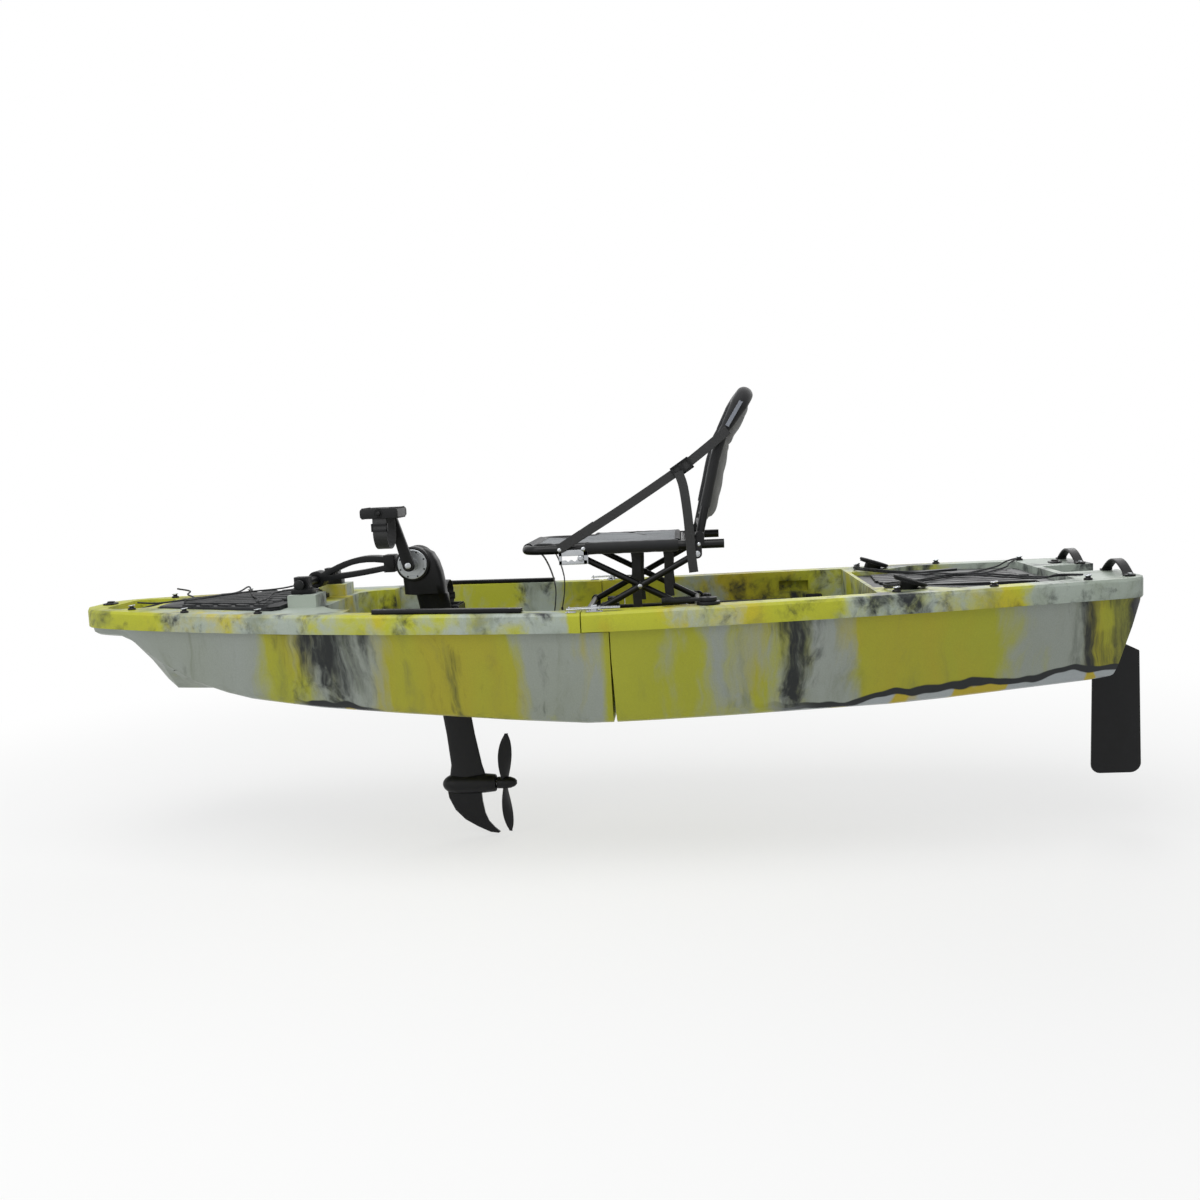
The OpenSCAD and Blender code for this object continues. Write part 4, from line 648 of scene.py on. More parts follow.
def leg_ring(bm, z, front, aft, half, sides=28):
    """One level section of the leg: blunt ahead, fine behind below the deck, boxy above it."""
    made = []
    long, mid = (aft - front) / 2, (aft + front) / 2
    power = 0.55 if z > 0.30 else 0.9
    for k in range(sides):
        a = math.tau * k / sides
        cx = math.copysign(abs(math.cos(a)) ** power, math.cos(a))
        cy = math.copysign(abs(math.sin(a)) ** power, math.sin(a))
        fine = 1.0 if z > 0.30 else 1.0 - 0.35 * max(0.0, cx)
        made.append(bm.verts.new((mid + long * cx, half * cy * fine, z)))
    return made


skin(bm, [leg_ring(bm, *cut) for cut in leg_cuts])
to_piece("leg_casting", bm, nylon, "drive", "drive_leg", smooth=42)
bm = bmesh.new()
for side in (-1, 1):
    face = side * drum_half
    lathe(bm, [(0, 0.0), (0.0425, 0.0), (0.0425, 0.0045), (0.0410, 0.0058), (0.0330, 0.0058),
               (0.0320, 0.0050), (0.0180, 0.0050), (0.0170, 0.0064), (0, 0.0064)], (axle_x, face, axle_z),
               (0, side, 0), 64)
to_piece("side_discs", bm, cast_silver, "drive", "drum_covers")
bm = bmesh.new()
for side in (-1, 1):
    for k in range(8):
        a = math.tau * (k + 0.5) / 8
        at = (axle_x + 0.0372 * math.cos(a), side * (drum_half + 0.0056), axle_z + 0.0372 * math.sin(a))
        lathe(bm, [(0, 0), (0.0026, 0), (0.0026, 0.0010), (0.0019, 0.0017), (0, 0.0017)], at, (0, side, 0),
              12)
to_piece("disc_screws", bm, nylon, "drive")

gear_z, nose_x, tail_x, case_radius = -0.247, -0.470, -0.311, 0.030
bm = bmesh.new()
nose = [(case_radius * s, 0.046 * (1 - c)) for c, s in arc(0, 0, 1, 0, 90, 10)]
length = tail_x - nose_x
lathe(bm, nose + [(case_radius, length * 0.62), (0.0285, length * 0.80), (0.0255, length - 0.003),
                  (0.0235, length), (0, length)], (nose_x, 0, gear_z), (1, 0, 0), 40)
fin = [(-0.458, 0.0), (-0.453, -0.040), (-0.436, -0.078), (-0.408, -0.108), (-0.372, -0.130),
       (-0.335, -0.148), (-0.311, -0.1515), (-0.306, -0.148), (-0.322, -0.134), (-0.338, -0.115),
       (-0.348, -0.090), (-0.354, -0.055), (-0.358, 0.0)]
verts = [bm.verts.new((x, 0, gear_z + z)) for x, z in fin]
face = bm.faces.new(verts)
out = bmesh.ops.extrude_face_region(bm, geom=[face])
top = [v for v in out["geom"] if isinstance(v, bmesh.types.BMVert)]
for group, side in ((verts, -1), (top, 1)):
    for v in group:
        v.co.y = side * (0.0065 + 0.0045 * max(0.0, 1 + (v.co.z - gear_z) / 0.1))
fin_edges = [e for e in {e for v in verts + top for e in v.link_edges}
             if abs(e.verts[0].co.y - e.verts[1].co.y) < 0.004]
bmesh.ops.recalc_face_normals(bm, faces=bm.faces[:])
bmesh.ops.bevel(bm, geom=fin_edges, affect="EDGES", offset=0.004, offset_type="OFFSET", segments=3,
                profile=0.5, material=-1, clamp_overlap=True)
to_piece("gearcase_casting", bm, nylon, "drive", "gearcase", smooth=42)

prop_x = -0.284
bm = bmesh.new()
lathe(bm, [(0, -0.024), (0.0165, -0.024), (0.0175, -0.020), (0.0175, 0.006), (0.0165, 0.016),
           (0.012, 0.028), (0.006, 0.034), (0, 0.0345)], (prop_x, 0, gear_z), (1, 0, 0), 32)
for turn in (0, math.pi):
    leaf = bmesh.new()
    bmesh.ops.create_grid(leaf, x_segments=10, y_segments=22, size=1)
    for v in leaf.verts:
        u, r = v.co.x, (v.co.y + 1) / 2
        radius = 0.012 + 0.134 * r
        chord = 0.050 * (math.sin(math.pi * min(1.0, 0.16 + 0.84 * r)) ** 0.62 if r < 1 else 0.02)
        chord = max(chord, 0.010)
        pitch_angle = math.radians(62 - 40 * r)
        skew = 0.010 * r * r
        along, round_ = u * chord / 2 + skew, 0.0045 * (1 - u * u) * (1 - r)
        v.co = (along * math.cos(pitch_angle) + round_, along * math.sin(pitch_angle), radius)
    bmesh.ops.solidify(leaf, geom=leaf.faces[:], thickness=0.0034)
    bmesh.ops.recalc_face_normals(leaf, faces=leaf.faces[:])
    bmesh.ops.rotate(leaf, verts=leaf.verts, cent=(0, 0, 0), matrix=Matrix.Rotation(turn, 3, "X"))
    bmesh.ops.translate(leaf, verts=leaf.verts, vec=(prop_x, 0, gear_z))
    mesh = bpy.data.meshes.new("leaf")
    leaf.to_mesh(mesh)
    leaf.free()
    bm.from_mesh(mesh)
    bpy.data.meshes.remove(mesh)
to_piece("two_blade_propeller", bm, nylon, "prop", "propeller", smooth=60)
for node, name, body in (("prop_shaft", "propeller_shaft", "prop"), ("crank_axle", "axle", "crank")):
    softened(node, name, stainless, body, 0.0006)
softened("crank_port", "crank_arm_port", nylon, "crank", 0.003, segments=3)
softened("crank_stbd", "crank_arm_stbd", nylon, "crank", 0.003, segments=3)

# ---- Pedals: caged platforms with toe straps ----
# Each pedal is a nylon cage with serrated bars fore and aft of its bearing barrel, and a webbing toe
# strap looped through the end plates. The port pedal has swung upside down, so its strap hangs.


def upright(bm, outline, y_far, y_near, bevel=0.0, segments=2):
    """A plate of this outline in x and z between two y, rounded at the edges of its near side."""
    known = set(bm.verts)
    slab(bm, outline, -max(y_far, y_near), -min(y_far, y_near), bevel, segments)
    fresh = [v for v in bm.verts if v not in known]
    bmesh.ops.rotate(bm, verts=fresh, cent=(0, 0, 0), matrix=Matrix.Rotation(math.pi / 2, 3, "X"))


webbing, tree, base, place = new_finish("woven polypropylene webbing", 0.62)
base.inputs["Sheen Weight"].default_value = 0.25
warp, weft = [add(tree, "ShaderNodeTexWave", {"Vector": place, "Scale": 1 / 0.012, "Distortion": 0.4},
                  bands_direction=way).outputs["Fac"] for way in ("X", "Z")]
weave = add(tree, "ShaderNodeMath", {0: warp, 1: weft}, operation="MULTIPLY")
fuzz = add(tree, "ShaderNodeTexNoise", {"Vector": place, "Scale": 60.0, "Detail": 4.0})
tone = add(tree, "ShaderNodeMath", {0: weave, 1: fuzz}, operation="MULTIPLY")
coat = add(tree, "ShaderNodeMix", {0: tone, 6: paint("#0B0C0D"), 7: paint("#212326")}, data_type="RGBA")
tree.links.new(coat.outputs[2], base.inputs["Base Color"])
bump = add(tree, "ShaderNodeBump", {"Height": weave, "Strength": 0.5, "Distance": 0.0008})
tree.links.new(bump.outputs[0], base.inputs["Normal"])

pedal_in, pedal_mid, pedal_out, slider_in, slider_out = 0.118, 0.172, 0.217, 0.2225, 0.2275
for name, side, pedal_x, pedal_z, way in (("port", -1, -0.55276, 0.56418, -1),
                                          ("stbd", 1, -0.46724, 0.25582, 0.88)):
    body = "pedal_" + name[0]
    bm = bmesh.new()
    barrel = [(0, 0), (0.0125, 0), (0.0138, 0.002), (0.0138, 0.038), (0.0115, 0.043), (0.0115, 0.065),
              (0.0138, 0.070), (0.0138, 0.106), (0.0125, 0.108), (0, 0.108)]
    lathe(bm, barrel, (pedal_x, side * pedal_in, pedal_z), (0, side, 0), 28)
    for y in (pedal_in, pedal_out):
        upright(bm, oblong(pedal_x, pedal_z, 0.052, 0.014, 0.008), side * y, side * (y + 0.009), 0.0022)
    for end in (-1, 1):
        bar_x = pedal_x + end * 0.0475
        slab(bm, oblong(bar_x, side * pedal_mid, 0.004, 0.050, 0.002), pedal_z - 0.011, pedal_z + 0.011,
             0.002)
        for k in range(9):
            slab(bm, oblong(bar_x, side * (0.131 + 0.0102 * k), 0.003, 0.003, 0.001, 2), pedal_z - 0.0150,
                 pedal_z + 0.0150, taper=0.0008)
    for y in (0.150, 0.194):
        slab(bm, oblong(pedal_x, side * y, 0.045, 0.0035, 0.002), pedal_z - 0.007, pedal_z + 0.007, 0.0015)
    to_piece("pedal_cage_" + name, bm, nylon, body, "pedal_" + name, smooth=42)
    loop = smooth_route([(pedal_x, side * y, pedal_z + way * z) for y, z in (
        (0.1225, 0.004), (0.1195, 0.038), (0.1210, 0.066), (0.140, 0.090), (0.172, 0.098), (0.204, 0.090),
        (0.223, 0.066), (0.2245, 0.038), (0.2215, 0.004))], 8)
    bm = bmesh.new()
    sweep(bm, [(b, a) for a, b in band_section(0.038, 0.0024)], loop, up=(1, 0, 0))
    to_piece("toe_strap_" + name, bm, webbing, body)
    bm = bmesh.new()
    for x, rise, half_x, half_z, r in (
            (0, 0.030, 0.022, 0.003, 0.002), (0, 0.046, 0.022, 0.003, 0.002),
            (-0.0205, 0.038, 0.002, 0.011, 0.001), (0.0205, 0.038, 0.002, 0.011, 0.001)):
        upright(bm, oblong(pedal_x + x, pedal_z + way * rise, half_x, half_z, r), side * slider_in,
                side * slider_out, 0.001)
    to_piece("toe_strap_slider_" + name, bm, nylon, body)

# ---- Console tray ----
# An ABS tray with a parts recess, a cup holder and a second recess, dropped into the trough behind
# the leg slot; its rim rests on the deck.
softened("console_tray", "console", abs_black, "hull", 0.003, segments=3)
cup_x, tray_top = -0.236, 0.2153
bm = bmesh.new()
ring = [(0.0382, 0), (0.0455, 0), (0.0455, 0.003), (0.0440, 0.0045), (0.0400, 0.0045), (0.0382, 0.003)]
lathe(bm, ring + ring[:1], (cup_x, 0, tray_top - 0.0005), (0, 0, 1), 56)
for y in (-0.048, -0.032, -0.016, 0, 0.016, 0.032, 0.048):
    slab(bm, rounded(-0.354, -0.288, y - 0.002, y + 0.002, 0.0018), 0.1815, 0.1840, 0.001)
    slab(bm, rounded(-0.174, -0.116, y - 0.002, y + 0.002, 0.0018), 0.1895, 0.1920, 0.001)
to_piece("tray_rings_and_ribs", bm, abs_black, "hull")

# ---- Foot wells: rubber mats with a tread plate pattern, and the scupper rims ----
# Thin moulded rubber mats glued to the well floors; crossed lozenges 1.4 mm high give grip, and they are
# painted a lighter black than the mat as the highlight on their raised tops. The rim round each scupper is
# part of the hull and shows its lime colour through the mat.
softened("foot_mats", "mats", rubber, "hull", 0.0008)
# painted highlight: the tread is a lighter black than the mat, standing in for light caught by the raised
# lozenges
tread_rubber_painted_highlight = moulded("black rubber, painted lighter as highlight", "#1B1C1D", "#2B2C2E", 0.55, 1.2, 0.3)
mat_front_x, mat_aft_x, mat_top, scupper_x, scupper_y = -0.618, -0.400, 0.1543, -0.475, 0.190
bm = bmesh.new()
for side in (-1, 1):
    for i in range(15):
        for j in range(16):
            x = mat_front_x + 0.010 + 0.0145 * i
            y = 0.108 + 0.0145 * j
            if x > mat_aft_x - 0.006 or y > half_beam(x) - 0.100:
                continue
            if math.hypot(x - scupper_x, y - scupper_y) < 0.040:
                continue
            lozenge = turned(x, side * y, math.radians(45 if (i + j) % 2 else -45),
                             [(-0.0058, 0), (0, -0.0019), (0.0058, 0), (0, 0.0019)])
            slab(bm, lozenge, mat_top - 0.0004, mat_top + 0.0014, taper=0.0007)
to_piece("mat_tread", bm, tread_rubber_painted_highlight, "hull")
lime_rim = moulded("lime polyethylene", "#A6AB28", "#B9BC36", 0.45, 2.0, 0.4)
bm = bmesh.new()
for side in (-1, 1):
    rim = [(0.0222, 0), (0.0314, 0), (0.0314, 0.0055), (0.0300, 0.0075), (0.0240, 0.0075), (0.0222, 0.006)]
    lathe(bm, rim + rim[:1], (scupper_x, side * scupper_y, 0.1501), (0, 0, 1), 48)
to_piece("scupper_rims", bm, lime_rim, "hull")

# ---- Deck fittings: access plates, screws, tracks, latches and joint bolts ----
# ABS plates close two access holes; extruded aluminium T-tracks take accessories; stainless toggle
# latches and hex bolts pull the two modules together.
softened("access_plates", "access_covers", abs_black, "hull", 0.003, segments=3)
bm = bmesh.new()
access_y, panel_top = 0.221, 0.2085
for y in (-access_y, access_y):
    for x0, x1, half, r, low, high, bevel in (
            (-0.224, -0.168, 0.006, 0.0055, panel_top - 0.003, 0.2090, 0.0015),
            (-0.203, -0.189, 0.018, 0.0055, panel_top - 0.003, 0.2085, 0.0012),
            (-0.362, -0.246, 0.086, 0.012, panel_top, 0.2103, 0.0012),
            (-0.146, -0.030, 0.086, 0.012, panel_top, 0.2103, 0.0012)):
        slab(bm, rounded(x0, x1, y - half, y + half, r), low, high, bevel)
to_piece("access_cover_latches", bm, abs_black, "hull")
softened("deck_screws", "deck_screw_heads", stainless, "hull", 0.0004)
softened("gunwale_tracks", "rail_tracks", anodised, "hull", 0.0009)
bm = bmesh.new()
track_x, track_y, track_yaw, bow_slope = -0.349, 0.395, math.radians(4.3), sheer_rise / bow_length
for side in (-1, 1):
    for run in (-0.183, -0.165, 0.165, 0.183):
        x = track_x + run * math.cos(track_yaw)
        y = side * (track_y + run * math.sin(track_yaw))
        lathe(bm, [(0, 0), (0.0037, 0), (0.0037, 0.0070), (0.0028, 0.0085), (0.0014, 0.0085),
                   (0.0010, 0.0070), (0, 0.0070)], (x, y, sheer(track_x) - run * bow_slope + 0.0034),
                   (0, 0, 1), 14)
to_piece("track_screws", bm, stainless, "hull")
softened("latch_bases", "latch_base_plates", stainless, "hull", 0.0005)
softened("latch_strikes", "latch_hooks", stainless, "hull", 0.0005)
both_sides = (("port", -1), ("stbd", 1))
for name, side in both_sides:
    softened("latch_lever_" + name, "toggle_lever_" + name, stainless, "lever_" + name[0], 0.0008)
    softened("latch_loop_" + name, "toggle_loop_" + name, stainless, "loop_" + name[0], 0)
softened("joint_bolts", "joint_bolt_heads", stainless, "hull", 0.0007)
softened("drain_plugs", "drain_fittings", nylon, "hull", 0.0015)
softened("drive_shaft", "shaft_in_leg", stainless, "shaft", 0)

# ---- Seat carriage: tracks, brackets, knobs and scissor legs ----
# Nylon brackets slide along aluminium tracks and are clamped by fluted knobs. The crossed legs are
# powder-coated tube on bolts, so the seat can be set high or low.
softened("seat_tracks", "seat_rails", anodised, "hull", 0.0009)
softened("front_brackets", "front_carriage", nylon, "seat_base", 0.0012)
softened("rear_brackets", "rear_carriage", nylon, "seat_rear", 0.0012)
knob_y, knob_low, grip_radius = 0.269, 0.2503, 0.011
for name, x, body in (("front_knobs", 0.040, "seat_base"), ("rear_knobs", 0.32789, "seat_rear")):
    bm = bmesh.new()
    for side in (-1, 1):
        known = set(bm.verts)
        lathe(bm, [(0, 0), (0.0145, 0), (0.0160, 0.0020), (0.0160, 0.0080), (0.0135, 0.0108),
                   (0.0060, 0.0126), (0, 0.0126)],
              (x, side * knob_y, knob_low - 0.0002), (0, 0, 1), 72)
        for v in bm.verts:
            if v not in known:
                out = v.co.xy - Vector((x, side * knob_y))
                if out.length > grip_radius:
                    v.co.xy += out * 0.05 * math.cos(9 * math.atan2(out.y, out.x))
    to_piece(name, bm, nylon, body)

low_z, high_z, fore_x, aft_x, mid_x, mid_z = 0.260, 0.42270, -0.010, 0.29989, 0.14495, 0.34135
for name, node, body, y, ends, crossings in (
        ("legs_outer", "legs_b", "scissor_b", 0.2275, ((fore_x, low_z), (aft_x, high_z)),
         ((fore_x, low_z),)),
        ("legs_inner", "legs_a", "scissor_a", 0.2070, ((aft_x, low_z), (fore_x, high_z)),
         ((aft_x, low_z), (fore_x, high_z)))):
    bm = bmesh.new()
    bolts = bmesh.new()
    for side in (-1, 1):
        line = [Vector((x, side * y, z)) for x, z in ends]
        sweep(bm, round_section(0.0088, 24), [line[0].lerp(line[1], k / 6) for k in range(7)])
        for x, z in ends + ((mid_x, mid_z),):
            lathe(bm, [(0, 0), (0.0085, 0), (0.0095, 0.001), (0.0095, 0.017), (0.0085, 0.018), (0, 0.018)],
                  (x, side * (y - 0.009), z), (0, side, 0), 28)
        for x, z in ends:
            lathe(bm, [(0, 0), (0.005, 0), (0.005, 0.2485 - y - 0.009), (0, 0.2485 - y - 0.009)],
                  (x, side * (y + 0.009), z), (0, side, 0), 20)
            lathe(bolts, [(0, 0), (0.0082, 0), (0.0082, 0.0012), (0.0062, 0.0014), (0.0062, 0.0042),
                          (0.0050, 0.0052), (0, 0.0052)], (x, side * 0.2492, z), (0, side, 0), 24)
        if body == "scissor_b":
            lathe(bolts, [(0, 0), (0.0065, 0), (0.0060, 0.0030), (0.0035, 0.0040), (0, 0.0040)],
                  (mid_x, side * (y + 0.009), mid_z), (0, side, 0), 24)
    for x, z in crossings:
        half = y - 0.009
        lathe(bm, [(0, -half), (0.009, -half), (0.009, half), (0, half)], (x, 0, z), (0, 1, 0), 28)
    to_piece(name, bm, powder_coat, body, node)
    to_piece(name + "_bolts", bolts, stainless, body)

# ---- Seat: tube frame, notch plates and the slung mesh panel ----
# A bent aluminium tube carries a padded panel of grey spacer mesh, sewn into black sleeves round the
# tubes. Stainless notch plates under its front set the height on the legs' cross tube.
rail_y, rail_z, rail_aft, front_x, corner_r, tube_radius = 0.233, 0.447, 0.372, -0.160, 0.046, 0.012
route = [Vector((rail_aft - 0.018 * k, -rail_y, rail_z)) for k in range(27)]
route += [Vector((x, y, rail_z))
          for x, y in arc(front_x + corner_r, corner_r - rail_y, corner_r, -90, -90, 12)]
route += [Vector((p.x, -p.y, p.z)) for p in reversed(route)]
bm = bmesh.new()
sweep(bm, round_section(tube_radius, 24), route)
bm.faces.ensure_lookup_table()
for cap in (bm.faces[-2], bm.faces[-1]):
    bmesh.ops.inset_region(bm, faces=[cap], thickness=0.0018)
    out = bmesh.ops.extrude_face_region(bm, geom=[cap])
    inner = [v for v in out["geom"] if isinstance(v, bmesh.types.BMVert)]
    bmesh.ops.delete(bm, geom=[cap], context="FACES_ONLY")
    bmesh.ops.translate(bm, verts=inner, vec=(-0.018, 0, 0))
lathe(bm, [(0, -0.228), (0.010, -0.228), (0.010, 0.228), (0, 0.228)], (0.262, 0, rail_z - 0.001),
      (0, 1, 0), 24)
for side in (-1, 1):
    foot = arc(aft_x, high_z, 0.013, 180, 180, 12)
    upright(bm, foot + [(aft_x + 0.013, rail_z + 0.004), (aft_x - 0.013, rail_z + 0.004)], side * 0.240,
            side * 0.248, 0.0012)
    head = arc(0.308, 0.471, 0.012, 0, 180, 12)
    upright(bm, head + [(0.296, rail_z - 0.004), (0.320, rail_z - 0.004)], side * 0.241, side * 0.247,
            0.0012)
bmesh.ops.recalc_face_normals(bm, faces=bm.faces[:])
to_piece("seat_tube", bm, powder_coat, "seat", "seat_frame")

bm = bmesh.new()
plate_in, plate_out = 0.2415, 0.2470
notches = [p for centre in (-0.010, -0.027, -0.044) for p in arc(centre, 0.4212, 0.0062, -20, -140, 6)]
for side in (-1, 1):
    plate = [(-0.068, 0.4067), (0.006, 0.4067), (0.008, 0.4090), (0.008, 0.4172)] + notches
    upright(bm, plate + [(-0.068, 0.4172)], side * plate_in, side * plate_out, 0.0006)
    for x0, x1, z0, z1 in ((-0.068, -0.0600, 0.4075, 0.4500), (-0.0015, 0.010, 0.4075, 0.4500),
                           (-0.068, 0.010, 0.4300, 0.4460)):
        upright(bm, rounded(x0, x1, z0, z1, 0.002), side * plate_in, side * plate_out, 0.0006)
    for x in (-0.065, -0.002, 0.305):
        lathe(bm, [(0, 0), (0.0060, 0), (0.0058, 0.0015), (0.0040, 0.0030), (0, 0.0034)],
              (x, side * (0.2516 if x < -0.06 else 0.2455), rail_z), (0, side, 0), 20)
bmesh.ops.recalc_face_normals(bm, faces=bm.faces[:])
to_piece("notch_plates", bm, stainless, "seat", "seat_frame")


def spacer_mesh(name, across):
    """Grey spacer mesh: a knit of open cells, drawn at 5 mm instead of 3 mm, so that it shows."""
    made, tree, base, place = new_finish(name, 0.82)
    base.inputs["Sheen Weight"].default_value = 0.3
    split = add(tree, "ShaderNodeSeparateXYZ", {0: place})
    flat = add(tree, "ShaderNodeCombineXYZ", {0: split.outputs[across], 1: split.outputs["Y"]})
    turned = add(tree, "ShaderNodeMapping", {"Vector": flat, "Rotation": (0, 0, math.radians(45)),
                                             "Scale": (200, 200, 200)})
    cells = add(tree, "ShaderNodeTexVoronoi", {"Vector": turned, "Scale": 1.0, "Randomness": 0.12},
                voronoi_dimensions="2D")
    hole = add(tree, "ShaderNodeMapRange", {"Value": cells.outputs["Distance"], "From Min": 0.18,
                                            "From Max": 0.42}, interpolation_type="SMOOTHSTEP")
    shade = add(tree, "ShaderNodeTexNoise", {"Vector": place, "Scale": 9.0, "Detail": 5.0})
    yarn = add(tree, "ShaderNodeMix", {0: shade, 6: paint("#6F7376"), 7: paint("#94979A")},
               data_type="RGBA")
    coat = add(tree, "ShaderNodeMix", {0: hole, 6: paint("#484C4F"), 7: yarn.outputs[2]}, data_type="RGBA")
    tree.links.new(coat.outputs[2], base.inputs["Base Color"])
    bump = add(tree, "ShaderNodeBump", {"Height": hole, "Strength": 0.6, "Distance": 0.0010})
    tree.links.new(bump.outputs[0], base.inputs["Normal"])
    return made


grey_mesh = spacer_mesh("grey spacer mesh, seat", "X")
grey_mesh_back = spacer_mesh("grey spacer mesh, back", "Z")
canvas = moulded("black coated polyester cloth", "#0D0E10", "#191B1E", 0.66, 1.0, 0.35,
                 coarse=11.0)
for node in canvas.node_tree.nodes:
    if node.type == "BSDF_PRINCIPLED":
        node.inputs["Sheen Weight"].default_value = 0.3
pale_tape = moulded("pale grey woven tape", "#7B7F87", "#8A8E96", 0.62, 1.0, 0.15, coarse=11.0)
pad_fore, pad_aft, pad_wide, pad_narrow = -0.1500, 0.2490, 0.2200, 0.1570
seams = [smooth_route([(x, side * y, 0) for x, y in line], 6) for side in (-1, 1) for line in (
    ((-0.088, 0.154), (0.040, 0.084), (0.157, 0.039), (0.2485, 0.022)),
    ((0.108, 0.218), (0.150, 0.161), (0.207, 0.107), (0.2485, 0.081)))]


def pad_half(x):
    """Half the panel's width: its front corners are cut back in a hollow curve."""
    t = max(0.0, min(0.998, (x + 0.109) / 0.117))
    return pad_narrow + (pad_wide - pad_narrow) * (1 - math.sqrt(1 - t * t)) if x < 0.008 else pad_wide


def near_seam(x, y):
    """How deep the surface is drawn in by the nearest row of stitches."""
    best = 1.0
    for seam in seams:
        for a, b in zip(seam, seam[1:]):
            run = (b - a).xy
            t = max(0.0, min(1.0, ((x - a.x) * run.x + (y - a.y) * run.y) / run.length_squared))
            best = min(best, math.hypot(x - a.x - run.x * t, y - a.y - run.y * t))
    return math.exp(-(best / 0.0075) ** 2)


def pad_top(x, y):
    """Height of the panel: slung between the tubes, plump between seams, rolled down in front."""
    u, v = (x - pad_fore) / (pad_aft - pad_fore), y / pad_wide
    sling = 0.013 * math.sin(math.pi * min(1.0, 0.12 + 0.88 * u)) * (1 - v * v)
    crease = 0.0011 * math.sin(46 * x + 23 * y * y * 20) * (1 - abs(v)) + 0.0008 * math.sin(90 * y + 31 * x)
    roll = 0.010 * max(0.0, 1 - (x - pad_fore) / 0.020) ** 2
    return rail_z + 0.0150 - sling - 0.0034 * near_seam(x, y) + crease - roll


rows, columns = 78, 88
bm = bmesh.new()
bmesh.ops.create_grid(bm, x_segments=rows, y_segments=columns, size=1)
for v in bm.verts:
    x = pad_fore + (pad_aft - pad_fore) * (v.co.x + 1) / 2
    y = v.co.y * (pad_half(x) - 0.001)
    v.co = (x, y, pad_top(x, y))
bmesh.ops.recalc_face_normals(bm, faces=bm.faces[:])
if sum(f.normal.z for f in bm.faces) < 0:
    bmesh.ops.reverse_faces(bm, faces=bm.faces[:])
bmesh.ops.solidify(bm, geom=bm.faces[:], thickness=0.006)
bmesh.ops.recalc_face_normals(bm, faces=bm.faces[:])
seat_panel = to_piece("seat_panel", bm, grey_mesh, "seat", "seat_mesh", smooth=60)
bm = bmesh.new()
for seam in seams:
    line = [Vector((p.x, p.y, pad_top(p.x, p.y) + 0.0008)) for p in seam]
    sweep(bm, band_section(0.0036, 0.0014), line)
for side in (-1, 1):
    hem = [Vector((x, side * pad_half(x), pad_top(x, side * pad_half(x)) - 0.002))
           for x in [pad_fore + 0.004 + (0.0085 - pad_fore - 0.004) * (k / 44) ** 0.75 for k in range(45)]]
    sweep(bm, [(a * 1.9, b) for a, b in round_section(0.0042, 12)], hem)
aft_hem = [Vector((pad_aft - 0.001, pad_wide * (k / 20 - 1),
                   pad_top(pad_aft, pad_wide * (k / 20 - 1)) - 0.002)) for k in range(41)]
sweep(bm, [(a * 1.8, b) for a, b in round_section(0.0042, 12)], aft_hem)
to_piece("seat_seams_and_binding", bm, canvas, "seat")
bm = bmesh.new()
for side in (-1, 1):
    sleeve = [Vector((0.004 + 0.2465 * k / 24, side * rail_y, rail_z)) for k in range(25)]
    swell = [1 + 0.02 * math.sin(k * 1.7) for k in range(25)]
    sweep(bm, [(a, b * 1.06) for a, b in round_section(0.0152, 28)], sleeve, scales=swell)
front = [Vector((front_x, -pad_narrow + 2 * pad_narrow * k / 30, rail_z)) for k in range(31)]
sweep(bm, round_section(0.0152, 28), front, scales=[1 + 0.02 * math.sin(k * 2.1) for k in range(31)])
slab(bm, rounded(front_x + 0.004, front_x + 0.030, -pad_narrow, pad_narrow, 0.004), rail_z - 0.0145,
     rail_z - 0.0115, 0.001)
to_piece("seat_sleeves", bm, canvas, "seat")

# ---- Backrest: bent tube, sleeves, mesh front and cloth rear ----
# The back is a bent tube pinned to the seat rails. A padded cover, grey mesh in front and black coated
# cloth behind, is pulled over it; the crossing tube shows in the hand hole at the top.
back_y, pivot = 0.229, Vector((0.308, 0, 0.471))
bend, crest = Vector((0.367, 0, 0.718)), Vector((0.441, 0, 0.836))
half_route = [pivot + (bend - pivot) * k / 10 for k in range(9)] + [
    bend + (crest - bend) * t for t in (0.15, 0.3, 0.45, 0.6, 0.72)]
half_route = [Vector((p.x, -back_y + 0.010 * max(0.0, (p.z - 0.740) / 0.06), p.z)) for p in half_route]
last = half_route[-1]
reach = crest - bend
for k in range(1, 11):
    a = math.radians(9 * k)
    half_route.append(Vector((last.x + reach.x * 0.28 * math.sin(a), last.y + 0.046 * (1 - math.cos(a)),
                              last.z + reach.z * 0.28 * math.sin(a))))
route = half_route + [Vector((p.x, -p.y, p.z)) for p in reversed(half_route)]
bm = bmesh.new()
sweep(bm, round_section(0.011, 22), route, up=(1, 0, -0.2))
lathe(bm, [(0, -0.221), (0.008, -0.221), (0.008, 0.221), (0, 0.221)], (0.312, 0, 0.491), (0, 1, 0), 20)
for side in (-1, 1):
    lathe(bm, [(0, 0), (0.005, 0), (0.005, 0.021), (0, 0.021)], (pivot.x, side * back_y, pivot.z),
          (0, side, 0), 18)
    lathe(bm, [(0, -0.011), (0.0115, -0.011), (0.0120, -0.008), (0.0120, 0.008), (0.0115, 0.011),
               (0, 0.011)],
          (pivot.x, side * back_y, pivot.z), (0, side, 0), 24)
to_piece("back_tube", bm, powder_coat, "back", "back_frame")

spine_line = smooth_route([(0.318, 0, 0.512), (0.336, 0, 0.585), (0.352, 0, 0.655), (0.369, 0, 0.722),
                           (0.402, 0, 0.778), (0.436, 0, 0.832)], 10)
rows, columns = len(spine_line) - 1, 56


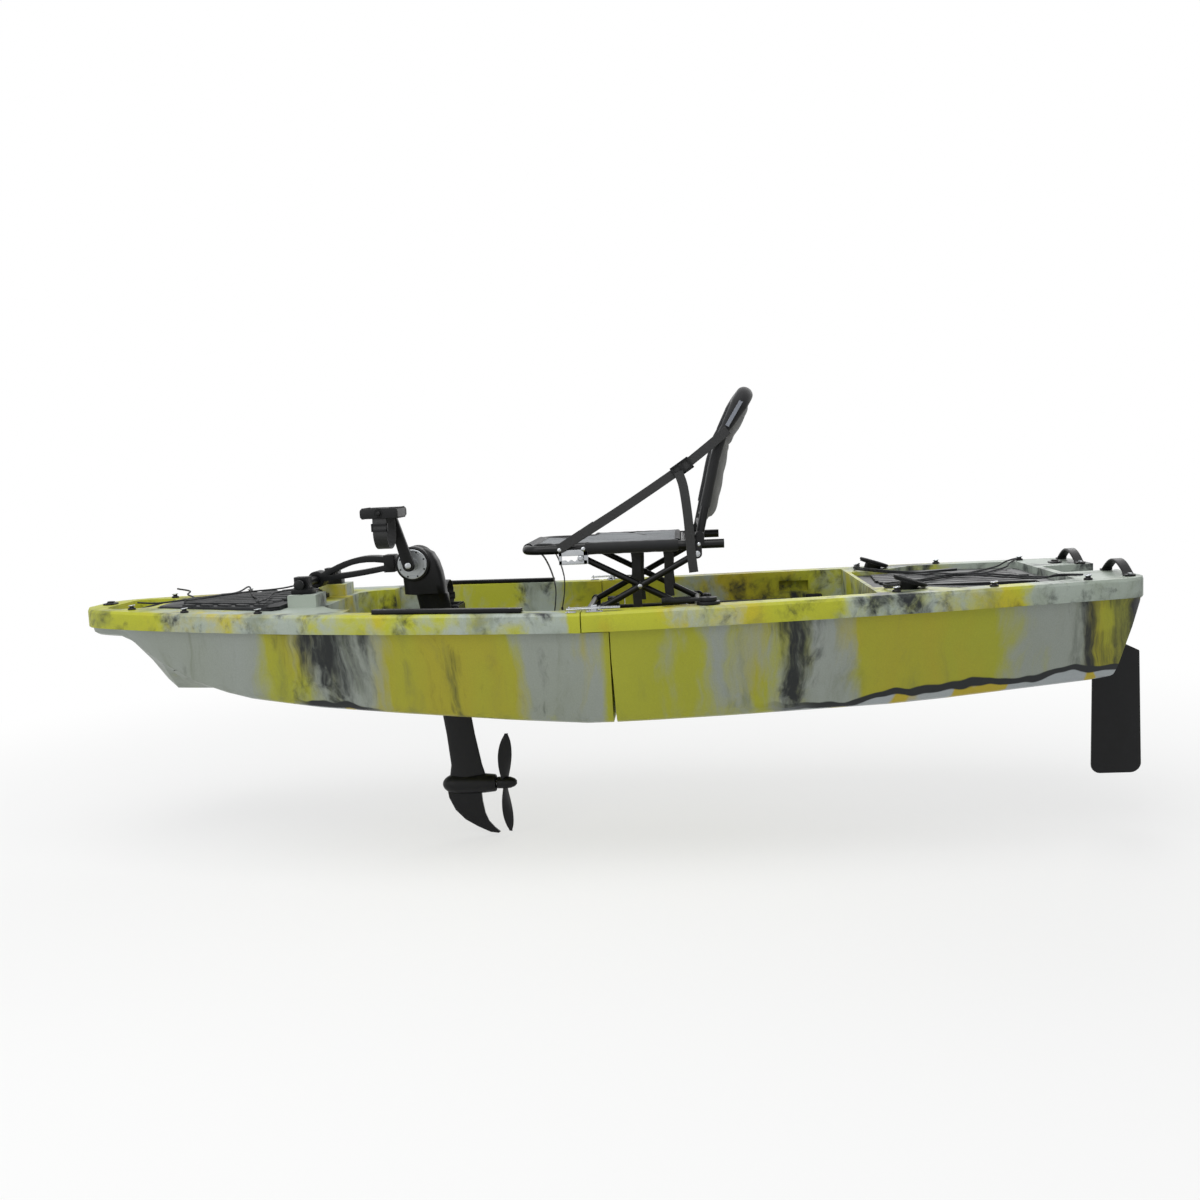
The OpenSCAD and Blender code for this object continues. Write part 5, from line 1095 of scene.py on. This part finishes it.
def back_point(i, s, layer):
    """A point of the cover: i along the spine, s from -1 to 1 across, layer -1 in front and 1 behind."""
    t = i / rows
    wide = 0.2155 - 0.030 * max(0.0, (t - 0.62) / 0.38) ** 2.2
    corner = 1 - 0.10 * max(0.0, (t - 0.90) / 0.10) ** 2 - 0.05 * max(0.0, (0.06 - t) / 0.06) ** 2
    at, ahead = spine_line[i], (spine_line[min(i + 1, rows)] - spine_line[max(i - 1, 0)]).normalized()
    aft = Vector((ahead.z, 0, -ahead.x))
    round_off = math.sqrt(max(0.0, 1 - abs(s) ** 6)) * math.sqrt(max(0.0, 1 - abs(2 * t - 1) ** 10))
    crown = 0.016 * (1 - s * s)
    thick = (0.0075 if layer < 0 else 0.0125 + 0.010 * (1 - s * s)) * round_off
    drawn = 0
    for line in (-0.46, 0.46, -0.12 - 0.25 * t, 0.12 + 0.25 * t):
        drawn += 0.0035 * math.exp(-((s - line) * 0.2155 / 0.0070) ** 2)
    if layer > 0:
        drawn = 0.004 * math.exp(-((t - 0.60) * 0.36 / 0.008) ** 2)
    ripple = 0.0010 * math.sin(34 * t + 5 * s) * (1 - s * s)
    out = crown + layer * (thick - drawn * round_off) + ripple
    return at + aft * out + Vector((0, s * wide * corner, 0))


bm = bmesh.new()
for layer in (-1, 1):
    known = set(bm.verts)
    bmesh.ops.create_grid(bm, x_segments=rows, y_segments=columns, size=1)
    fresh = [v for v in bm.verts if v not in known]
    faces = {f for v in fresh for f in v.link_faces}
    for f in faces:
        f.material_index = 0 if layer < 0 else 1
    for v in fresh:
        i, s = round((v.co.x + 1) / 2 * rows), v.co.y
        v.co = back_point(i, s, layer)
    if layer > 0:
        bmesh.ops.reverse_faces(bm, faces=list(faces))
bmesh.ops.remove_doubles(bm, verts=bm.verts, dist=0.0002)
bmesh.ops.recalc_face_normals(bm, faces=bm.faces[:])
back_cover = to_piece("back_cover", bm, [grey_mesh_back, canvas], "back", "back_mesh", smooth=60)
bm = bmesh.new()
for side in (-1, 1):
    line = [p for p in half_route if p.z > 0.545]
    line = [Vector((p.x, -side * p.y, p.z)) for p in line if abs(p.y) > 0.19]
    sweep(bm, [(a, b * 1.05) for a, b in round_section(0.0130, 24)], line, up=(1, 0, -0.2),
          scales=[1 + 0.02 * math.sin(k * 1.9) for k in range(len(line))])
crown_line = [p for p in route if p.z > 0.742]
count = len(crown_line)
swell = [0.66 + 0.34 * math.sin(math.pi * min(1.0, 6.0 * min(k, count - 1 - k) / count) / 2)
         for k in range(count)]
sweep(bm, [(a * 1.0, b * 1.12) for a, b in round_section(0.0200, 28)], crown_line, up=(1, 0, -0.6),
      scales=swell)
rim = [back_point(i, -1, -1) for i in range(rows + 1)]
rim += [back_point(rows, -1 + 2 * k / 30, -1) for k in range(1, 30)]
rim += [back_point(i, 1, -1) for i in range(rows, -1, -1)]
rim += [back_point(0, 1 - 2 * k / 30, -1) for k in range(1, 30)]
sweep(bm, round_section(0.0048, 12), rim + rim[:1], up=(1, 0, -0.3))
for line in (-0.46, 0.46):
    seam = [back_point(i, line, -1) + Vector((-0.0006, 0, 0.0001)) for i in range(2, rows - 1)]
    sweep(bm, band_section(0.0034, 0.0014), seam, up=(-1, 0, 0.3))
to_piece("back_binding_and_sleeves", bm, canvas, "back")
bm = bmesh.new()
for side in (-1, 1):
    stripe = [Vector((p.x, -side * (abs(p.y) + 0.0203), p.z)) for p in half_route
              if 0.752 < p.z < 0.822]
    sweep(bm, band_section(0.0100, 0.0016), stripe, up=(0, 1, 0))
to_piece("head_roll_stripes", bm, pale_tape, "back")

# ---- Side straps with ladder-lock buckles ----
# Two webbing straps hold the back up: from the bolts at the seat's front corners to the sides of the
# back, with a nylon ladder lock in each and the spare end hanging from it.
seat_end, lock, back_end = Vector((-0.067, 0, 0.449)), Vector((0.268, 0, 0.650)), Vector((0.391, 0, 0.743))
lock_lean = math.radians(33)
for name, side in both_sides:
    bm = bmesh.new()
    y = side * 0.2506
    lower = [seat_end.lerp(lock, k / 16) for k in range(17)]
    upper = [lock.lerp(back_end, k / 8) for k in range(9)]
    for run in (lower, upper):
        sag = 0.0035 if run is lower else 0.001
        line = [Vector((p.x, y, p.z - sag * math.sin(math.pi * k / (len(run) - 1))))
                for k, p in enumerate(run)]
        sweep(bm, band_section(0.0245, 0.0018), line, up=(0, 1, 0))
    fold = [Vector((p.x, y + side * 0.0022, p.z)) for p in lower[:4]]
    sweep(bm, band_section(0.0250, 0.0018), fold, up=(0, 1, 0))
    tail = smooth_route([(0.258, y + side * 0.0075, 0.640), (0.270, y + side * 0.0085, 0.600),
                         (0.279, y + side * 0.0085, 0.520), (0.284, y + side * 0.0080, 0.430),
                         (0.289, y + side * 0.0080, 0.375)], 5)
    sweep(bm, band_section(0.0245, 0.0016), tail, up=(0, 1, 0))
    for f in bm.faces:
        f.material_index = 0
    cloth_faces = set(bm.faces)
    for x0, x1, z0, z1 in ((-0.028, -0.022, -0.016, 0.016), (-0.004, 0.004, -0.016, 0.016),
                           (0.022, 0.028, -0.016, 0.016), (-0.028, 0.028, -0.017, -0.0125),
                           (-0.028, 0.028, 0.0125, 0.017)):
        upright(bm, turned(lock.x, lock.z, lock_lean, rounded(x0, x1, z0, z1, 0.002)),
                y - side * 0.001, y + side * 0.0062, 0.0012)
    for f in bm.faces:
        if f not in cloth_faces:
            f.material_index = 1
    strap = to_piece("side_strap_" + name, bm, [webbing, nylon], None, "seat_straps")
    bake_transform(strap)

for name, side in both_sides:
    bm = bmesh.new()
    for x, y, foot in ((0.133, 0.150, 0.262), (0.222, 0.176, 0.305)):
        hang = smooth_route([(x - 0.002, side * y, 0.436), (x + 0.001, side * y, 0.400),
                             (x - 0.001, side * y, 0.340), (x + 0.002, side * y, foot)], 6)
        sweep(bm, band_section(0.0245, 0.0016), hang, up=(0, 1, 0))
    hanging = to_piece("under_strap_" + name, bm, webbing, "seat")
    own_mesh(hanging)
    y = side * 0.128
    band_line = smooth_route([(-0.150, y, 0.434), (-0.128, y, 0.430), (-0.112, y, 0.405),
                              (-0.100, y, 0.372), (-0.094, y, 0.345)], 6)
    string = smooth_route([(-0.094, y, 0.346), (-0.093, y, 0.322), (-0.096, y, 0.290), (-0.101, y, 0.262),
                           (-0.104, y, 0.247)], 6)
    bm = bmesh.new()
    sweep(bm, band_section(0.0245, 0.0016), band_line, up=(0.3, 0, 1))
    sweep(bm, round_section(0.0018, 10), string, up=(0, 1, 0))
    lathe(bm, [(0, -0.005), (0.0030, -0.004), (0.0040, 0), (0.0030, 0.004), (0, 0.005)], string[-1],
          (0, 0, 1), 14)
    tail_piece = to_piece("front_tail_" + name, bm, webbing, "seat")
    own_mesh(tail_piece)

# ---- Stern: tank well cover, rod holders, scupper plugs and grips ----
# A flat ABS cover with raised ribs lies in the tank well under its shock cords. The rod holders are
# nylon tubes with push-in caps; plugs close the two scuppers; two arched grips lift the stern.
cover_half = [(0.764, 0.218), (0.836, 0.222), (0.960, 0.330), (1.217, 0.290), (1.267, 0.258)]
inset = [(x + (0.001 if x < 0.8 else -0.0006 if x > 1.2 else 0), y - 0.001) for x, y in cover_half]
cover_low, cover_top = 0.2823, 0.3023
bm = bmesh.new()
slab(bm, [(x, y) for x, y in inset] + [(x, -y) for x, y in reversed(inset)], cover_low, cover_top, 0.005, 3)
for k in range(-3, 4):
    y = 0.048 * k
    slab(bm, rounded(0.800 + 0.004 * abs(k), 1.200, y - 0.0185, y + 0.0185, 0.008), cover_top - 0.001,
         cover_top + 0.0072, 0.003, 3)
for side in (-1, 1):
    for k in range(3):
        rib = turned(0.905 + 0.020 * k, side * (0.196 + 0.034 * k), math.radians(24 * side),
                     rounded(0, 0.200 - 0.040 * k, -0.012, 0.012, 0.008))
        if all(abs(y) < 0.318 - max(0.0, (x - 0.960) * 0.156) for x, y in rib):
            slab(bm, rib, cover_top - 0.001, cover_top + 0.0062, 0.003, 2)
    slab(bm, rounded(1.205, 1.235, side * 0.12 - 0.10, side * 0.12 + 0.10, 0.010), cover_top - 0.001,
         cover_top + 0.0055, 0.003, 2)
to_piece("tank_well_cover", bm, abs_black, "cover", "tank_cover")
softened("rod_tubes", "rod_holder_tubes", nylon, "hull", 0.0012)
rod_x, rod_y, rod_tilt = 0.838, 0.292, math.radians(18)
cap_axis = Vector((math.sin(rod_tilt), 0, math.cos(rod_tilt)))
for name, side in both_sides:
    bm = bmesh.new()
    lathe(bm, [(0, 0.0020), (0.0205, 0.0020), (0.0215, 0.0035), (0.0215, 0.0193), (0.0430, 0.0193),
               (0.0440, 0.0203), (0.0440, 0.0243), (0.0422, 0.0262), (0.0310, 0.0262), (0.0300, 0.0250),
               (0.0170, 0.0250), (0.0160, 0.0266), (0.0050, 0.0272), (0, 0.0272)],
               (rod_x, side * rod_y, sheer(rod_x)), cap_axis, 48)
    to_piece("rod_holder_cap_" + name, bm, rubber, "rod_cap_" + name[0], "rod_cap_" + name,
             slot="black_plastic")
plug_x, plug_y, plug_z = 0.602, 0.185, 0.222
for name, side in both_sides:
    bm = bmesh.new()
    lathe(bm, [(0, -0.040), (0.0190, -0.040), (0.0214, -0.036), (0.0214, -0.026), (0.0202, -0.024),
               (0.0202, -0.016), (0.0214, -0.014), (0.0216, 0.0003), (0.0268, 0.0003), (0.0270, 0.0042),
               (0.0255, 0.0060), (0.0120, 0.0066), (0, 0.0066)], (plug_x, side * plug_y, plug_z),
               (0, 0, 1), 40)
    arch = [Vector((plug_x + a, side * plug_y, plug_z + 0.0052 + b / 1.1))
            for a, b in arc(0, 0, 0.011, 0, 180, 14)]
    sweep(bm, round_section(0.0023, 10), arch, up=(0, 1, 0))
    to_piece("scupper_stopper_" + name, bm, rubber, "plug_" + name[0], "scupper_plug_" + name)
softened("stern_handles", "stern_grips", nylon, "hull", 0.003, segments=3)

# ---- Steering: hand lever, cables, bracket, yoke and rudder blade ----
# The hand lever on the port gunwale turns the yoke by two stainless cables. The yoke turns in a
# bracket bolted into the stern notch and carries a flat nylon blade on a cross pin.
softened("steer_base", "steering_mount", nylon, "hull", 0.0015)
softened("steer_lever", "steering_handle", nylon, "steer_hand", 0.002)
steer_x, steer_y = 0.322, -0.402
bm = bmesh.new()
grip = [(0, 0), (0.0075, 0), (0.0092, 0.003)]
for k in range(14):
    grip += [(0.0094, 0.006 + 0.0045 * k), (0.0084, 0.0075 + 0.0045 * k)]
grip += [(0.0094, 0.070), (0.0080, 0.074), (0, 0.074)]
lathe(bm, grip, (steer_x - 0.044, steer_y, sheer(steer_x) + 0.0134), (-1, 0, -0.0168), 24)
to_piece("steering_grip", bm, rubber, "steer_hand")
cable_fore, cable_aft, cable_y, cable_z = 1.2903, 1.4357, 0.065, 0.243
ferrules = bmesh.new()
for name, side in both_sides:
    line = [Vector((cable_fore + (cable_aft - cable_fore) * k / 24, side * cable_y, cable_z))
            for k in range(25)]
    bm = bmesh.new()
    sweep(bm, round_section(0.0015, 10), line)
    cable = to_piece("rudder_cable_" + name, bm, stainless, None, "rudder_cables")
    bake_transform(cable)
    lathe(ferrules, [(0.0017, 0), (0.0045, 0), (0.0045, 0.006), (0.0030, 0.010), (0.0017, 0.010),
                     (0.0017, 0)],
          (cable_fore, side * cable_y, cable_z), (1, 0, 0), 20)
to_piece("cable_ferrules", ferrules, stainless, "hull")
softened("rudder_bracket", "stern_bracket", nylon, "hull", 0.0015)
softened("rudder_yoke", "rudder_yoke_casting", nylon, "yoke", 0.0015)
softened("rudder_blade", "rudder_plate", nylon, "blade", 0.0036, segments=3)
bm = bmesh.new()
for side in (-1, 1):
    lathe(bm, [(0, 0), (0.0090, 0), (0.0090, 0.0012), (0.0072, 0.0014), (0.0072, 0.0040), (0.0060, 0.0052),
               (0, 0.0052)],
          (1.456, side * 0.0137, 0.104), (0, side, 0), 24)
to_piece("blade_pin_nuts", bm, stainless, "blade")

# ---- Deck cord on the starboard side ----
# A 5 mm shock cord lies beside the seat track, 0.3 mm above the floor, with a moulded rubber
# toggle at each end.
deck_line = smooth_route([(x / 1000, (453 - y) / 1000, 0.2248) for x, y in (
    (20, 107), (60, 101), (150, 97), (250, 95), (345, 97), (430, 103), (520, 109), (640, 113))], 6)
deck_rope = cord_curve("deck_rope", deck_line, 0.0025, braid, "hull", "deck_cord")
bm = bmesh.new()
for x, y, z, radius, half in ((0.665, 0.340, 0.2313, 0.009, 0.025), (0.020, 0.346, 0.2293, 0.007, 0.010)):
    lathe(bm, [(0, -half), (radius * 0.55, -half), (radius * 0.9, -half + 0.003), (radius, -half * 0.4),
               (radius * 0.86, 0), (radius, half * 0.4), (radius * 0.9, half - 0.003),
               (radius * 0.55, half), (0, half)],
          (x, y, z), (1, 0, 0), 24)
toggles = to_piece("cord_toggles", bm, rubber, "hull", slot="webbing")
